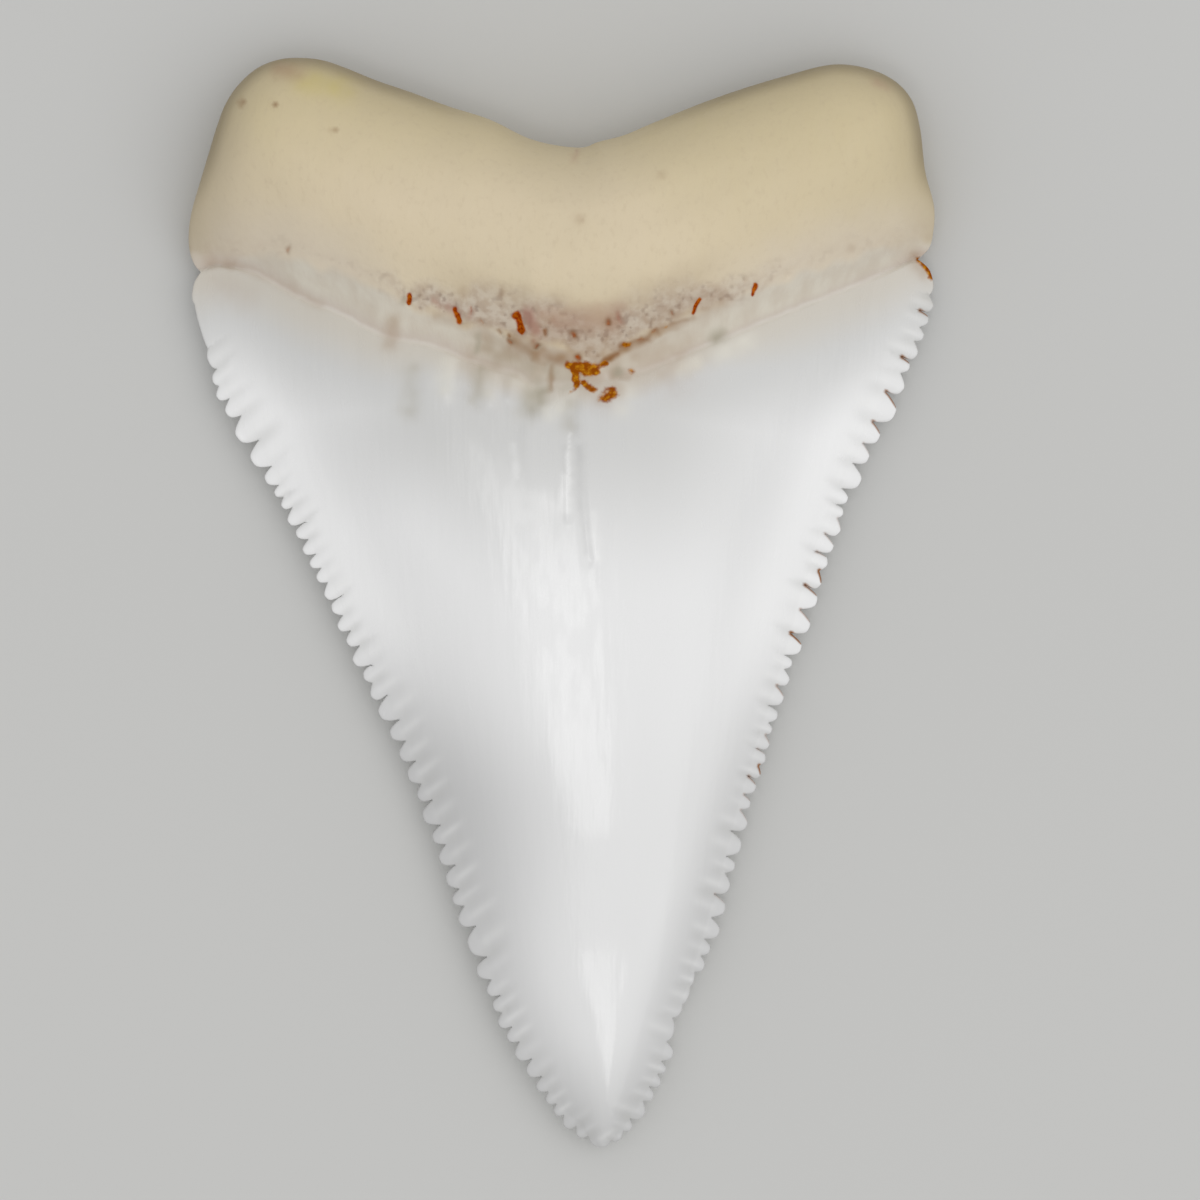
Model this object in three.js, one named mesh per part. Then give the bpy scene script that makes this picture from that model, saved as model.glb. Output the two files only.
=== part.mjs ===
// A great white shark tooth that lies on its flat outer (labial) face, with the domed inner (lingual)
// face up. It is one solid: the serrated enamel crown and the two-lobed root grew as one piece.
// Millimetres. X runs across the tooth, +Y from the crown's tip to the root, +Z up. The origin is under
// the middle of the tooth's box, on the surface that it lies on.

import * as THREE from 'three';

// Colour and finish of the bone-white tooth
const TOOTH_COLOUR = 0xded8c8;
const TOOTH_ROUGHNESS = 0.4;

// Notches between the serrations, from the root down to the tip: x, y and, where it isn't the usual
// share of its pitch, how far the serration below the notch stands out
const LEFT_NOTCHES = [
  [-18.08, 16.55, 0.14], [-18.40, 14.95, 0.03], [-17.73, 12.73, 0.20], [-17.28, 11.70, 0.32],
  [-17.18, 10.85], [-16.65, 10.23], [-16.05, 9.38], [-15.18, 8.15], [-14.53, 6.85], [-14.18, 5.90],
  [-13.95, 5.30], [-13.50, 4.78, 0.64], [-12.90, 4.03, 0.60], [-12.70, 3.18, 0.60],
  [-12.33, 2.45, 0.60], [-12.05, 1.75], [-11.73, 1.03, 0.60], [-11.08, 0.33], [-10.98, -0.63, 0.57],
  [-10.58, -1.38], [-10.13, -2.13, 0.60], [-9.58, -3.10, 0.45], [-9.50, -4.00, 0.60],
  [-8.75, -4.60, 0.57], [-8.15, -5.83, 0.57], [-7.83, -6.90], [-7.33, -7.90, 0.47], [-7.05, -9.05],
  [-6.50, -9.85], [-6.10, -11.10], [-5.83, -12.08], [-5.35, -13.10, 0.46], [-5.15, -14.30],
  [-4.90, -15.15], [-4.33, -16.15, 0.41], [-3.78, -17.70], [-3.55, -18.85], [-3.10, -19.63, 0.46],
  [-3.03, -20.50], [-2.53, -21.20], [-2.15, -21.95], [-1.53, -22.80], [-1.03, -23.68],
  [-0.70, -24.45, 0.47], [-0.30, -25.05, 0.45], [0.08, -25.63, 0.45], [0.70, -26.20, 0.42],
  [1.28, -26.68, 0.36],
];
const RIGHT_NOTCHES = [
  [17.80, 17.19, 0.22], [18.38, 15.38], [17.90, 14.64], [17.89, 13.80, 0.47], [17.63, 13.10],
  [17.00, 12.31], [16.94, 11.50], [16.20, 10.59], [15.55, 9.08], [15.06, 8.00], [14.55, 7.00],
  [14.00, 5.74], [13.73, 4.93, 0.45], [13.79, 4.24], [13.15, 3.48, 0.68], [12.73, 2.57, 0.50],
  [12.87, 1.61, 0.55], [12.15, 0.91, 0.60], [11.92, -0.32, 0.60], [11.45, -1.50, 0.62],
  [11.14, -2.60], [11.12, -3.32], [10.74, -4.12], [10.33, -5.12], [10.33, -5.99, 0.40],
  [10.19, -6.60], [9.77, -7.29, 0.43], [9.86, -8.14], [9.33, -8.66], [9.10, -9.57], [8.94, -10.35],
  [8.45, -11.39, 0.50], [8.23, -12.66], [8.17, -13.52, 0.45], [7.63, -14.55], [7.47, -15.73],
  [7.13, -16.81, 0.45], [6.95, -17.65, 0.40], [6.64, -18.47, 0.10], [6.42, -19.20, 0.12],
  [6.03, -20.08, 0.20], [5.54, -20.75, 0.18], [5.24, -21.94, 0.46], [4.98, -22.92, 0.48],
  [4.80, -23.57], [4.38, -24.18, 0.47], [4.07, -24.92, 0.40], [3.40, -25.80, 0.42],
  [3.05, -26.43, 0.30], [2.45, -26.90],
];
const SERRATION_DEPTH = 0.53; // how far a serration stands out, as a share of its pitch
const SERRATION_PEAK = 0.45; // how far down a serration its widest place is
const SERRATION_STEPS = [0, 0.15, 0.38, 0.66, 0.88];

// Outline of the root, from the left notch between crown and root, over both lobes, to the right one
const ROOT_OUTLINE = [
  [-18.08, 16.55], [-18.40, 16.95], [-18.62, 17.60], [-18.66, 18.40], [-18.50, 19.45],
  [-18.05, 20.95], [-17.55, 22.60], [-17.20, 23.75], [-16.75, 24.90], [-16.15, 25.80],
  [-15.15, 26.68], [-14.05, 27.10], [-13.00, 27.17], [-11.90, 27.05], [-10.90, 26.72],
  [-9.20, 26.03], [-7.55, 25.47], [-5.65, 24.76], [-3.60, 24.10], [-1.65, 23.16], [-0.20, 22.80],
  [1.15, 22.72], [1.75, 22.96], [3.05, 23.30], [4.50, 23.91], [7.60, 25.15], [11.05, 26.25],
  [13.70, 26.85], [15.60, 26.53], [16.75, 25.90], [17.45, 25.05], [17.85, 23.70], [18.13, 21.45],
  [18.58, 19.70], [18.55, 18.50], [18.36, 17.75], [17.80, 17.19],
];

// Smooth lines along the feet of the serrations, down the crown: y, left x, right x
const CROWN_EDGES = [
  [-27.3, 1.9, 2.1], [-26.5, 1.1, 2.9], [-24, -0.9, 4.5], [-20, -3.0, 6.0], [-15, -4.9, 7.6],
  [-9, -6.9, 9.2], [-3, -9.7, 11.1], [3, -12.6, 12.9], [8, -15.2, 15.1], [12.5, -17.7, 17.4],
  [17.3, -18.4, 18.2],
];

// Where the crown is highest across, up the crown: y, x
const CREST = [
  [-27.3, 2.0], [-24, 2.4], [-18, 2.7], [-10, 2.3], [-6, 2.1], [-2, 1.9], [2, 1.5], [9, 0.65], [17.3, 0.2],
];

// Where the enamel ends, from left to right: x, y. It dips far down the lingual face, in a V
const LINGUAL_NECK = [
  [-18.08, 16.55], [-17.1, 16.75], [-15.1, 16.15], [-13.1, 15.0], [-9.1, 13.2], [-6.1, 12.4],
  [-4.1, 11.55], [-2.2, 10.75], [-0.9, 10.3], [0.9, 10.45], [3.9, 11.15], [6.9, 12.4], [9.9, 13.65],
  [12.9, 14.9], [15.9, 16.15], [17.80, 17.19],
];
const LABIAL_NECK = [
  [-18.08, 16.55], [-16.5, 16.9], [-12, 16.3], [-6, 15.1], [0, 14.6], [6, 15.3], [12, 16.7],
  [16.3, 17.4], [17.80, 17.19],
];

// Heights above the surface that the tooth lies on
const EDGE_HEIGHT = 1.2; // cutting edge
const RIM_HEIGHT = 2.6; // rim of the root, halfway between its faces
const FLANGE_RISE = 0.3; // thin flange behind the serrations, above and below the cutting edge
const FLUTE_DEPTH = 0.12; // grooves that run in from the notches
const CROWN_BULGE = [
  [-27.3, 0], [-26, 0.7], [-24.5, 1.1], [-21, 1.45], [-17.5, 1.8], [-14.5, 2.33], [-11, 2.93],
  [-2.5, 3.77], [5, 4.5], [8, 4.62], [12, 4.45], [17.3, 4],
]; // y, and how high the crown's crest stands over its flange
const CROWN_FLATNESS = [
  [-27.3, 1.9], [-23.4, 2.0], [-21.4, 2.25], [-18, 3.1], [17.3, 3.2],
]; // y, power: a higher one makes the crown's middle flatter
const CROWN_BULGE_POWER = 1.5;
const ENAMEL_STEP = 0.15; // the root lies this much lower beside the enamel
const ROOT_SLAB = 6.2;
const TORUS = { height: 3.0, x: 0.2, y: 17, across: 13, along: 7 }; // swelling above the pores
const LOBE_SWELLING = { height: 0.7, x: 12, y: 20.5, across: 5, along: 5 };
const NECK_RAMP = { middle: 7, side: 8, start: 2, end: 14 }; // climb to full height, by distance from x = 0
const NECK_RAMP_POWERS = { top: 2, foot: 1.6 }; // how softly the climb ends and starts
const LINGUAL_ROUNDING = 3.6; // widths of the rounding along the root's rim
const LABIAL_ROUNDING = 2.2;
const RIM_RAMP = { start: 16.9, length: 4 }; // y where the rim leaves the cutting edge's height
const LABIAL_FLAT = 0.55; // share of the crown's half width that is flat below
const TIP_LIFT = { start: -20, end: -27.2, height: 0.45 };

// Mesh spacing
const FLANGE_WIDTH = 0.35; // from the notches in, less near the root, where it tapers to nothing
const FLANGE_TOP = 17;
const FLANGE_RAMP = 1.5;
const FLANGE_LEAST = 0.1; // share of its width that is left at its top
const FLANGE_TILT = 0.45; // how much its width points up the crown, where the crown is wide
const SHOULDER_INSET = 0.9;
const ROOT_COLUMNS = 44;
const LINGUAL_ROOT_ROWS = [0.1, 0.22, 0.36, 0.5, 0.63, 0.74, 0.83, 0.9, 0.95, 0.985];
const LABIAL_ROOT_ROWS = [0.25, 0.5, 0.7, 0.8, 0.88, 0.95, 0.985];
const CROWN_ROWS = 44;
const LAST_CROWN_ROW = -25.5; // y
const LINGUAL_COLUMN = 1.5;
const LABIAL_COLUMN = 2.4;
const NECK_FADE = { length: 0.55, power: 1.5 }; // share of the crown over which its rows turn straight

const { clamp, lerp, smoothstep } = THREE.MathUtils;

// Value at t of the smooth curve through rows of [t, value, ...], which are in rising order of t
function curveValue(rows, t, column = 1) {
  const last = rows.length - 1;
  const place = clamp(t, rows[0][0], rows[last][0]);
  let i = 0;
  while (i < last - 1 && rows[i + 1][0] < place) i += 1;
  const slope = (k) => {
    const before = rows[Math.max(k - 1, 0)];
    const after = rows[Math.min(k + 1, last)];
    return (after[column] - before[column]) / (after[0] - before[0]);
  };
  const span = rows[i + 1][0] - rows[i][0];
  const s = (place - rows[i][0]) / span;
  const bend = span * s * (1 - s) * (slope(i) * (1 - s) - slope(i + 1) * s);
  return lerp(rows[i][column], rows[i + 1][column], s * s * (3 - 2 * s)) + bend;
}

function bump({ height, x, y, across, along }, px, py) {
  return height * Math.exp(-(((px - x) / across) ** 2) - ((py - y) / along) ** 2);
}

// Outlines
function serrationProfile(t) {
  if (t < SERRATION_PEAK) return Math.sin((Math.PI / 2) * (t / SERRATION_PEAK));
  return 1 - ((t - SERRATION_PEAK) / (1 - SERRATION_PEAK)) ** 4;
}

// Points of a serrated edge that runs down from the root: each is { x, y, foot, fullness }. foot is the
// point below it on the line between the notches, and fullness is 0 in a notch and 1 at a serration's
// widest place. side is -1 on the left and 1 on the right
function serratedEdge(notches, side) {
  const points = [];
  for (let k = 0; k < notches.length - 1; k += 1) {
    const [x, y, depth = SERRATION_DEPTH] = notches[k];
    const across = notches[k + 1][0] - x;
    const along = notches[k + 1][1] - y;
    for (const t of SERRATION_STEPS) {
      const fullness = serrationProfile(t);
      const out = side * depth * fullness;
      const foot = new THREE.Vector2(x + across * t, y + along * t);
      points.push({ x: foot.x - along * out, y: foot.y + across * out, foot, fullness });
    }
  }
  return points;
}

function crownOutline() {
  const [x, y] = RIGHT_NOTCHES[RIGHT_NOTCHES.length - 1];
  const lowest = { x, y, foot: new THREE.Vector2(x, y), fullness: 0 };
  const left = serratedEdge([...LEFT_NOTCHES, [x, y]], -1);
  const right = serratedEdge(RIGHT_NOTCHES, 1);
  return [...left, lowest, ...right.reverse()];
}

function rootOutline() {
  const points = ROOT_OUTLINE.map(([x, y]) => new THREE.Vector3(x, y, 0));
  return new THREE.CatmullRomCurve3(points, false, 'centripetal').getSpacedPoints(ROOT_COLUMNS);
}

const ROOT_RIM = rootOutline();

function distanceToRim(x, y) {
  const point = new THREE.Vector3(x, y, 0);
  const nearest = new THREE.Vector3();
  let distance = Infinity;
  for (let i = 0; i < ROOT_RIM.length - 1; i += 1) {
    new THREE.Line3(ROOT_RIM[i], ROOT_RIM[i + 1]).closestPointToPoint(point, true, nearest);
    distance = Math.min(distance, nearest.distanceTo(point));
  }
  return distance;
}

// Place across the crown: 0 on its crest, 1 at the feet of the serrations on either side
function crownPlace(x, y) {
  const crest = curveValue(CREST, y);
  const foot = curveValue(CROWN_EDGES, y, x < crest ? 1 : 2);
  return clamp((x - crest) / (foot - crest), 0, 1);
}

// Heights
function rimHeight(y) {
  return lerp(EDGE_HEIGHT, RIM_HEIGHT, smoothstep(y, RIM_RAMP.start, RIM_RAMP.start + RIM_RAMP.length));
}

function quarterRound(share) {
  return Math.sqrt(1 - (1 - Math.min(share, 1)) ** 2);
}

function lingualCrown(x, y) {
  const across = (1 - crownPlace(x, y) ** curveValue(CROWN_FLATNESS, y)) ** CROWN_BULGE_POWER;
  return EDGE_HEIGHT + FLANGE_RISE + curveValue(CROWN_BULGE, y) * across;
}

function lingualRoot(x, y) {
  const neck = curveValue(LINGUAL_NECK, x);
  const beside = lingualCrown(x, neck) - ENAMEL_STEP;
  const { middle, side, start, end } = NECK_RAMP;
  const ramp = lerp(middle, side, smoothstep(Math.abs(x), start, end));
  const climb = (1 - (1 - clamp((y - neck) / ramp, 0, 1)) ** NECK_RAMP_POWERS.top) ** NECK_RAMP_POWERS.foot;
  const full = ROOT_SLAB + bump(TORUS, x, y) + bump(LOBE_SWELLING, Math.abs(x), y);
  const rim = rimHeight(y);
  const rise = Math.max(lerp(beside, full, climb) - rim, ENAMEL_STEP);
  return rim + rise * quarterRound(distanceToRim(x, y) / LINGUAL_ROUNDING);
}

function labialCrown(x, y) {
  const rise = (Math.max(crownPlace(x, y) - LABIAL_FLAT, 0) / (1 - LABIAL_FLAT)) ** 2;
  const lift = TIP_LIFT.height * smoothstep(-y, -TIP_LIFT.start, -TIP_LIFT.end) ** 2;
  return Math.max(rise * (EDGE_HEIGHT - FLANGE_RISE), lift);
}

function labialRoot(x, y) {
  const rounded = rimHeight(y) * (1 - quarterRound(distanceToRim(x, y) / LABIAL_ROUNDING));
  const neck = curveValue(LABIAL_NECK, x);
  return lerp(labialCrown(x, neck), rounded, smoothstep(y - neck, 0, LABIAL_ROUNDING));
}

// Mesh: vertices are numbered as they are made, and a row is a list of their numbers
const coordinates = [];
const triangles = [];

function addVertex(x, y, z) {
  coordinates.push(x, y, z);
  return coordinates.length / 3 - 1;
}

function flatDistance(a, b) {
  const across = coordinates[3 * a] - coordinates[3 * b];
  const along = coordinates[3 * a + 1] - coordinates[3 * b + 1];
  return Math.hypot(across, along);
}

function addTriangle(a, b, c, up) {
  if (a === b || b === c || c === a) return;
  const [ax, ay, bx, by, cx, cy] = [a, b, c].flatMap((i) => [coordinates[3 * i], coordinates[3 * i + 1]]);
  const turnsLeft = (bx - ax) * (cy - ay) - (by - ay) * (cx - ax) > 0;
  triangles.push(...(turnsLeft === up ? [a, b, c] : [a, c, b]));
}

// Fills the strip between two rows, which may have different numbers of vertices and share their ends
function stitch(rowA, rowB, up) {
  const lastA = rowA.length - 1;
  const lastB = rowB.length - 1;
  let i = 0;
  let j = 0;
  while (i < lastA || j < lastB) {
    const mustA = j === lastB || (i < lastA && rowB[j + 1] === rowA[lastA]);
    const mustB = i === lastA || rowA[i] === rowB[j];
    const shorterA = () => flatDistance(rowA[i + 1], rowB[j]) < flatDistance(rowA[i], rowB[j + 1]);
    if (mustA || (!mustB && shorterA())) {
      addTriangle(rowA[i], rowB[j], rowA[i + 1], up);
      i += 1;
    } else {
      addTriangle(rowA[i], rowB[j], rowB[j + 1], up);
      j += 1;
    }
  }
}

// Point of the flange's inner line beside a foot point of the serrated edge
function flangePoint({ x, y }) {
  const left = curveValue(CROWN_EDGES, y, 1);
  const right = curveValue(CROWN_EDGES, y, 2);
  const up = 1 + FLANGE_TILT * ((right - left) / 2);
  const into = new THREE.Vector2((left + right) / 2 - x, up).normalize();
  const width = FLANGE_WIDTH * clamp((FLANGE_TOP - y) / FLANGE_RAMP, FLANGE_LEAST, 1);
  return { x: x + width * into.x, y: y + width * into.y };
}

// One face of the tooth, joined to the vertices of the outline
function addFace({ neck, crownHeight, rootHeight, rootRows, column, up }, rimRow, edge, edgeRow) {
  const notchLeft = rimRow[0];
  const notchRight = rimRow[ROOT_COLUMNS];
  const neckAt = (share) => {
    const x = lerp(LEFT_NOTCHES[0][0], RIGHT_NOTCHES[0][0], share);
    return [x, curveValue(neck, x)];
  };
  const closeRow = (inner) => [notchLeft, ...inner, notchRight];

  // Root, from the neck out to the rim
  const innerColumns = Array.from({ length: ROOT_COLUMNS - 1 }, (_, i) => i + 1);
  const rootRow = (share) => closeRow(innerColumns.map((i) => {
    const [x, y] = neckAt(i / ROOT_COLUMNS);
    const px = lerp(x, ROOT_RIM[i].x, share);
    const py = lerp(y, ROOT_RIM[i].y, share);
    return addVertex(px, py, share === 0 ? crownHeight(px, py) : rootHeight(px, py));
  }));
  const neckRow = rootRow(0);
  const rows = [neckRow, ...rootRows.map(rootRow), rimRow];
  for (let k = 0; k < rows.length - 1; k += 1) stitch(rows[k], rows[k + 1], up);

  // Crown, from the neck down to the tip
  const crownRow = (share) => {
    const yLeft = lerp(LEFT_NOTCHES[0][1], LAST_CROWN_ROW, share);
    const yRight = lerp(RIGHT_NOTCHES[0][1], LAST_CROWN_ROW, share);
    const xLeft = curveValue(CROWN_EDGES, yLeft, 1) + SHOULDER_INSET;
    const xRight = curveValue(CROWN_EDGES, yRight, 2) - SHOULDER_INSET;
    const fade = Math.max(1 - share / NECK_FADE.length, 0) ** NECK_FADE.power;
    const columns = Math.max(2, Math.round((xRight - xLeft) / column));
    return Array.from({ length: columns + 1 }, (_, i) => {
      const across = i / columns;
      const edgeLine = lerp(LEFT_NOTCHES[0][1], RIGHT_NOTCHES[0][1], across);
      const x = lerp(xLeft, xRight, across);
      const y = lerp(yLeft, yRight, across) - fade * (edgeLine - neckAt(across)[1]);
      return addVertex(x, y, crownHeight(x, y));
    });
  };
  const crownRows = Array.from({ length: CROWN_ROWS }, (_, k) => crownRow((k + 1) / CROWN_ROWS));
  stitch(neckRow, crownRows[0], up);
  for (let k = 0; k < crownRows.length - 1; k += 1) stitch(crownRows[k], crownRows[k + 1], up);

  // Flange with its flutes, from the crown's shoulders out to the serrations
  const flangeRow = closeRow(edge.slice(1, -1).map(({ foot, fullness }) => {
    const { x, y } = flangePoint(foot);
    const flute = up ? FLUTE_DEPTH * (1 - fullness) : 0;
    return addVertex(x, y, crownHeight(x, y) - flute);
  }));
  const shoulder = closeRow([
    ...crownRows.map((row) => row[0]),
    ...crownRows[CROWN_ROWS - 1].slice(1, -1),
    ...crownRows.map((row) => row[row.length - 1]).reverse(),
  ]);
  stitch(edgeRow, flangeRow, up);
  stitch(flangeRow, shoulder, up);
}

function makeTooth() {
  const rimRow = ROOT_RIM.map(({ x, y }) => addVertex(x, y, rimHeight(y)));
  const edge = crownOutline();
  const serrations = edge.slice(1, -1).map(({ x, y }) => addVertex(x, y, EDGE_HEIGHT));
  const edgeRow = [rimRow[0], ...serrations, rimRow[ROOT_COLUMNS]];
  addFace({
    neck: LINGUAL_NECK,
    crownHeight: lingualCrown,
    rootHeight: lingualRoot,
    rootRows: LINGUAL_ROOT_ROWS,
    column: LINGUAL_COLUMN,
    up: true,
  }, rimRow, edge, edgeRow);
  addFace({
    neck: LABIAL_NECK,
    crownHeight: labialCrown,
    rootHeight: labialRoot,
    rootRows: LABIAL_ROOT_ROWS,
    column: LABIAL_COLUMN,
    up: false,
  }, rimRow, edge, edgeRow);

  const geometry = new THREE.BufferGeometry();
  geometry.setAttribute('position', new THREE.Float32BufferAttribute(coordinates, 3));
  geometry.setIndex(triangles);
  geometry.computeVertexNormals();
  const material = new THREE.MeshStandardMaterial({ color: TOOTH_COLOUR, roughness: TOOTH_ROUGHNESS });
  const tooth = new THREE.Mesh(geometry, material);
  tooth.name = 'tooth';
  return tooth;
}

const model = new THREE.Group();
model.add(makeTooth());

export default model;
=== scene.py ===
import math

import bpy
import numpy as np
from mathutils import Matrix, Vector
from mathutils.geometry import delaunay_2d_cdt
from mathutils.kdtree import KDTree


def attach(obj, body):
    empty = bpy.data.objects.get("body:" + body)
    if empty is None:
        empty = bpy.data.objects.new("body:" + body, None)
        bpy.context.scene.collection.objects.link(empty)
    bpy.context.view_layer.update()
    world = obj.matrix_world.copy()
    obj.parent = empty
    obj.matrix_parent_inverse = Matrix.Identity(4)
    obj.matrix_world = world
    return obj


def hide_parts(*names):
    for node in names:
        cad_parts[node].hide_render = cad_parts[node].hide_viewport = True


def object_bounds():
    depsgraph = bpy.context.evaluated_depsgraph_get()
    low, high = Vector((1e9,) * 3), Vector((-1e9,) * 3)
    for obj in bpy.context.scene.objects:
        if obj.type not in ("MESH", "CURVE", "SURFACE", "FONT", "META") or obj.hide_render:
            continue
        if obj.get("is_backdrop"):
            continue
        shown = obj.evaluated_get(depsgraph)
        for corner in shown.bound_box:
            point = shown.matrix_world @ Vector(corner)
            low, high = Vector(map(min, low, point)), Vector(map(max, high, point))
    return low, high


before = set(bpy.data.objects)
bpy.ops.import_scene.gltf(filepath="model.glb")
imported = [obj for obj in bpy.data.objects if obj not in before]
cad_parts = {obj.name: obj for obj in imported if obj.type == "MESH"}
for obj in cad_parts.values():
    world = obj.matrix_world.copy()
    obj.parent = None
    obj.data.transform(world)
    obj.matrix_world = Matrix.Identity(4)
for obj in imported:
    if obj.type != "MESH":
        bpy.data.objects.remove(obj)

# The fine surface of a great white shark tooth that lies on its flat outer (labial) face. Shapes are in
# millimetres, in the frame's own axes: X across, +Y from the tip to the root, +Z up. Meshes are in metres.
MM = 0.001
cad_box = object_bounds()

# Notches between the serrations, from the root down to the tip: x, y and, where it isn't the usual
# share of its pitch, how far the serration below the notch stands out
LEFT_NOTCHES = [
    (-18.08, 16.55, 0.14), (-18.4, 14.95, 0.03), (-17.73, 12.73, 0.2), (-17.28, 11.7, 0.32),
    (-17.18, 10.85), (-16.65, 10.23), (-16.05, 9.38), (-15.18, 8.15), (-14.53, 6.85), (-14.18, 5.9),
    (-13.95, 5.3), (-13.5, 4.78, 0.64), (-12.9, 4.03, 0.6), (-12.7, 3.18, 0.6), (-12.33, 2.45, 0.6),
    (-12.05, 1.75), (-11.73, 1.03, 0.6), (-11.08, 0.33), (-10.98, -0.63, 0.57), (-10.58, -1.38),
    (-10.13, -2.13, 0.6), (-9.58, -3.1, 0.45), (-9.5, -4, 0.6), (-8.75, -4.6, 0.57), (-8.15, -5.83, 0.57),
    (-7.83, -6.9), (-7.33, -7.9, 0.47), (-7.05, -9.05), (-6.5, -9.85), (-6.1, -11.1), (-5.83, -12.08),
    (-5.35, -13.1, 0.46), (-5.15, -14.3), (-4.9, -15.15), (-4.33, -16.15, 0.41), (-3.78, -17.7),
    (-3.55, -18.85), (-3.1, -19.63, 0.46), (-3.03, -20.5), (-2.53, -21.2), (-2.15, -21.95), (-1.53, -22.8),
    (-1.03, -23.68), (-0.7, -24.45, 0.47), (-0.3, -25.05, 0.45), (0.08, -25.63, 0.45), (0.7, -26.2, 0.42),
    (1.28, -26.68, 0.36), (2.45, -26.9),
]
RIGHT_NOTCHES = [
    (17.8, 17.19, 0.22), (18.38, 15.38), (17.9, 14.64), (17.89, 13.8, 0.47), (17.63, 13.1), (17, 12.31),
    (16.94, 11.5), (16.2, 10.59), (15.55, 9.08), (15.06, 8), (14.55, 7), (14, 5.74), (13.73, 4.93, 0.45),
    (13.79, 4.24), (13.15, 3.48, 0.68), (12.73, 2.57, 0.5), (12.87, 1.61, 0.55), (12.15, 0.91, 0.6),
    (11.92, -0.32, 0.6), (11.45, -1.5, 0.62), (11.14, -2.6), (11.12, -3.32), (10.74, -4.12), (10.33, -5.12),
    (10.33, -5.99, 0.4), (10.19, -6.6), (9.77, -7.29, 0.43), (9.86, -8.14), (9.33, -8.66), (9.1, -9.57),
    (8.94, -10.35), (8.45, -11.39, 0.5), (8.23, -12.66), (8.17, -13.52, 0.45), (7.63, -14.55),
    (7.47, -15.73), (7.13, -16.81, 0.45), (6.95, -17.65, 0.4), (6.64, -18.47, 0.1), (6.42, -19.2, 0.12),
    (6.03, -20.08, 0.2), (5.54, -20.75, 0.18), (5.24, -21.94, 0.46), (4.98, -22.92, 0.48), (4.8, -23.57),
    (4.38, -24.18, 0.47), (4.07, -24.92, 0.4), (3.4, -25.8, 0.42), (3.05, -26.43, 0.3), (2.45, -26.9),
]
SERRATION_DEPTH = 0.53
SERRATION_PEAK = 0.45
SERRATION_STEPS = 16

# Outline of the root, from the left notch over both lobes to the right one
ROOT_OUTLINE = [
    (-18.08, 16.55), (-18.4, 16.95), (-18.62, 17.6), (-18.66, 18.4), (-18.5, 19.45), (-18.05, 20.95),
    (-17.55, 22.6), (-17.2, 23.75), (-16.75, 24.9), (-16.15, 25.8), (-15.15, 26.68), (-14.05, 27.1),
    (-13, 27.17), (-11.9, 27.05), (-10.9, 26.72), (-9.2, 26.03), (-7.55, 25.47), (-5.65, 24.76),
    (-3.6, 24.1), (-1.65, 23.16), (-0.2, 22.8), (1.15, 22.72), (1.75, 22.96), (3.05, 23.3), (4.5, 23.91),
    (7.6, 25.15), (11.05, 26.25), (13.7, 26.85), (15.6, 26.53), (16.75, 25.9), (17.45, 25.05),
    (17.85, 23.7), (18.13, 21.45), (18.58, 19.7), (18.55, 18.5), (18.36, 17.75), (17.8, 17.19),
]
ROOT_CURVE_STEPS = 23  # points of the smooth curve between two of the outline's points
RIM_STEP = 0.14

# Smooth lines along the feet of the serrations: y, left x, right x
CROWN_EDGES = [
    (-27.3, 1.9, 2.1), (-26.5, 1.1, 2.9), (-24, -0.9, 4.5), (-20, -3, 6), (-15, -4.9, 7.6), (-9, -6.9, 9.2),
    (-3, -9.7, 11.1), (3, -12.6, 12.9), (8, -15.2, 15.1), (12.5, -17.7, 17.4), (17.3, -18.4, 18.2),
]

# Where the crown is highest across: y, x
CREST = [
    (-27.3, 2), (-24, 2.4), (-18, 2.7), (-10, 2.3), (-6, 2.1), (-2, 1.9), (2, 1.5), (9, 0.65), (17.3, 0.2),
]

# Where the enamel ends: x, y
LINGUAL_NECK = [
    (-18.08, 16.55), (-17.1, 16.75), (-15.1, 16.15), (-13.1, 15), (-10.85, 14.05), (-9.1, 13.15),
    (-8.35, 12.9), (-6.1, 12.4), (-4.1, 11.55), (-2.1, 10.9), (-1.4, 10.35), (-0.7, 10.4), (0.9, 10.5),
    (1.9, 10.75), (3.9, 11.15), (4.9, 11.55), (6.9, 12.4), (9.9, 13.65), (12.9, 14.9), (15.9, 16.15),
    (17.8, 17.19),
]
LABIAL_NECK = [
    (-18.08, 16.55), (-16.5, 16.9), (-12, 16.3), (-6, 15.1), (0, 14.6), (6, 15.3), (12, 16.7), (16.3, 17.4),
    (17.8, 17.19),
]

# Lower edge of the bone, where it thins out in small pores above the smooth band of the neck: x, y
BONE_EDGE = [
    (-18.1, 17.3), (-13.6, 17.2), (-10.6, 16.1), (-8.1, 15), (-5.1, 13.9), (-2.1, 13), (-0.4, 12.6),
    (0.9, 12.2), (2, 11.95), (3.4, 12.75), (5.1, 13.55), (6.4, 14.15), (9.4, 15.25), (11.9, 16.3),
    (14.4, 17.1), (18, 18.1),
]

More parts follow.
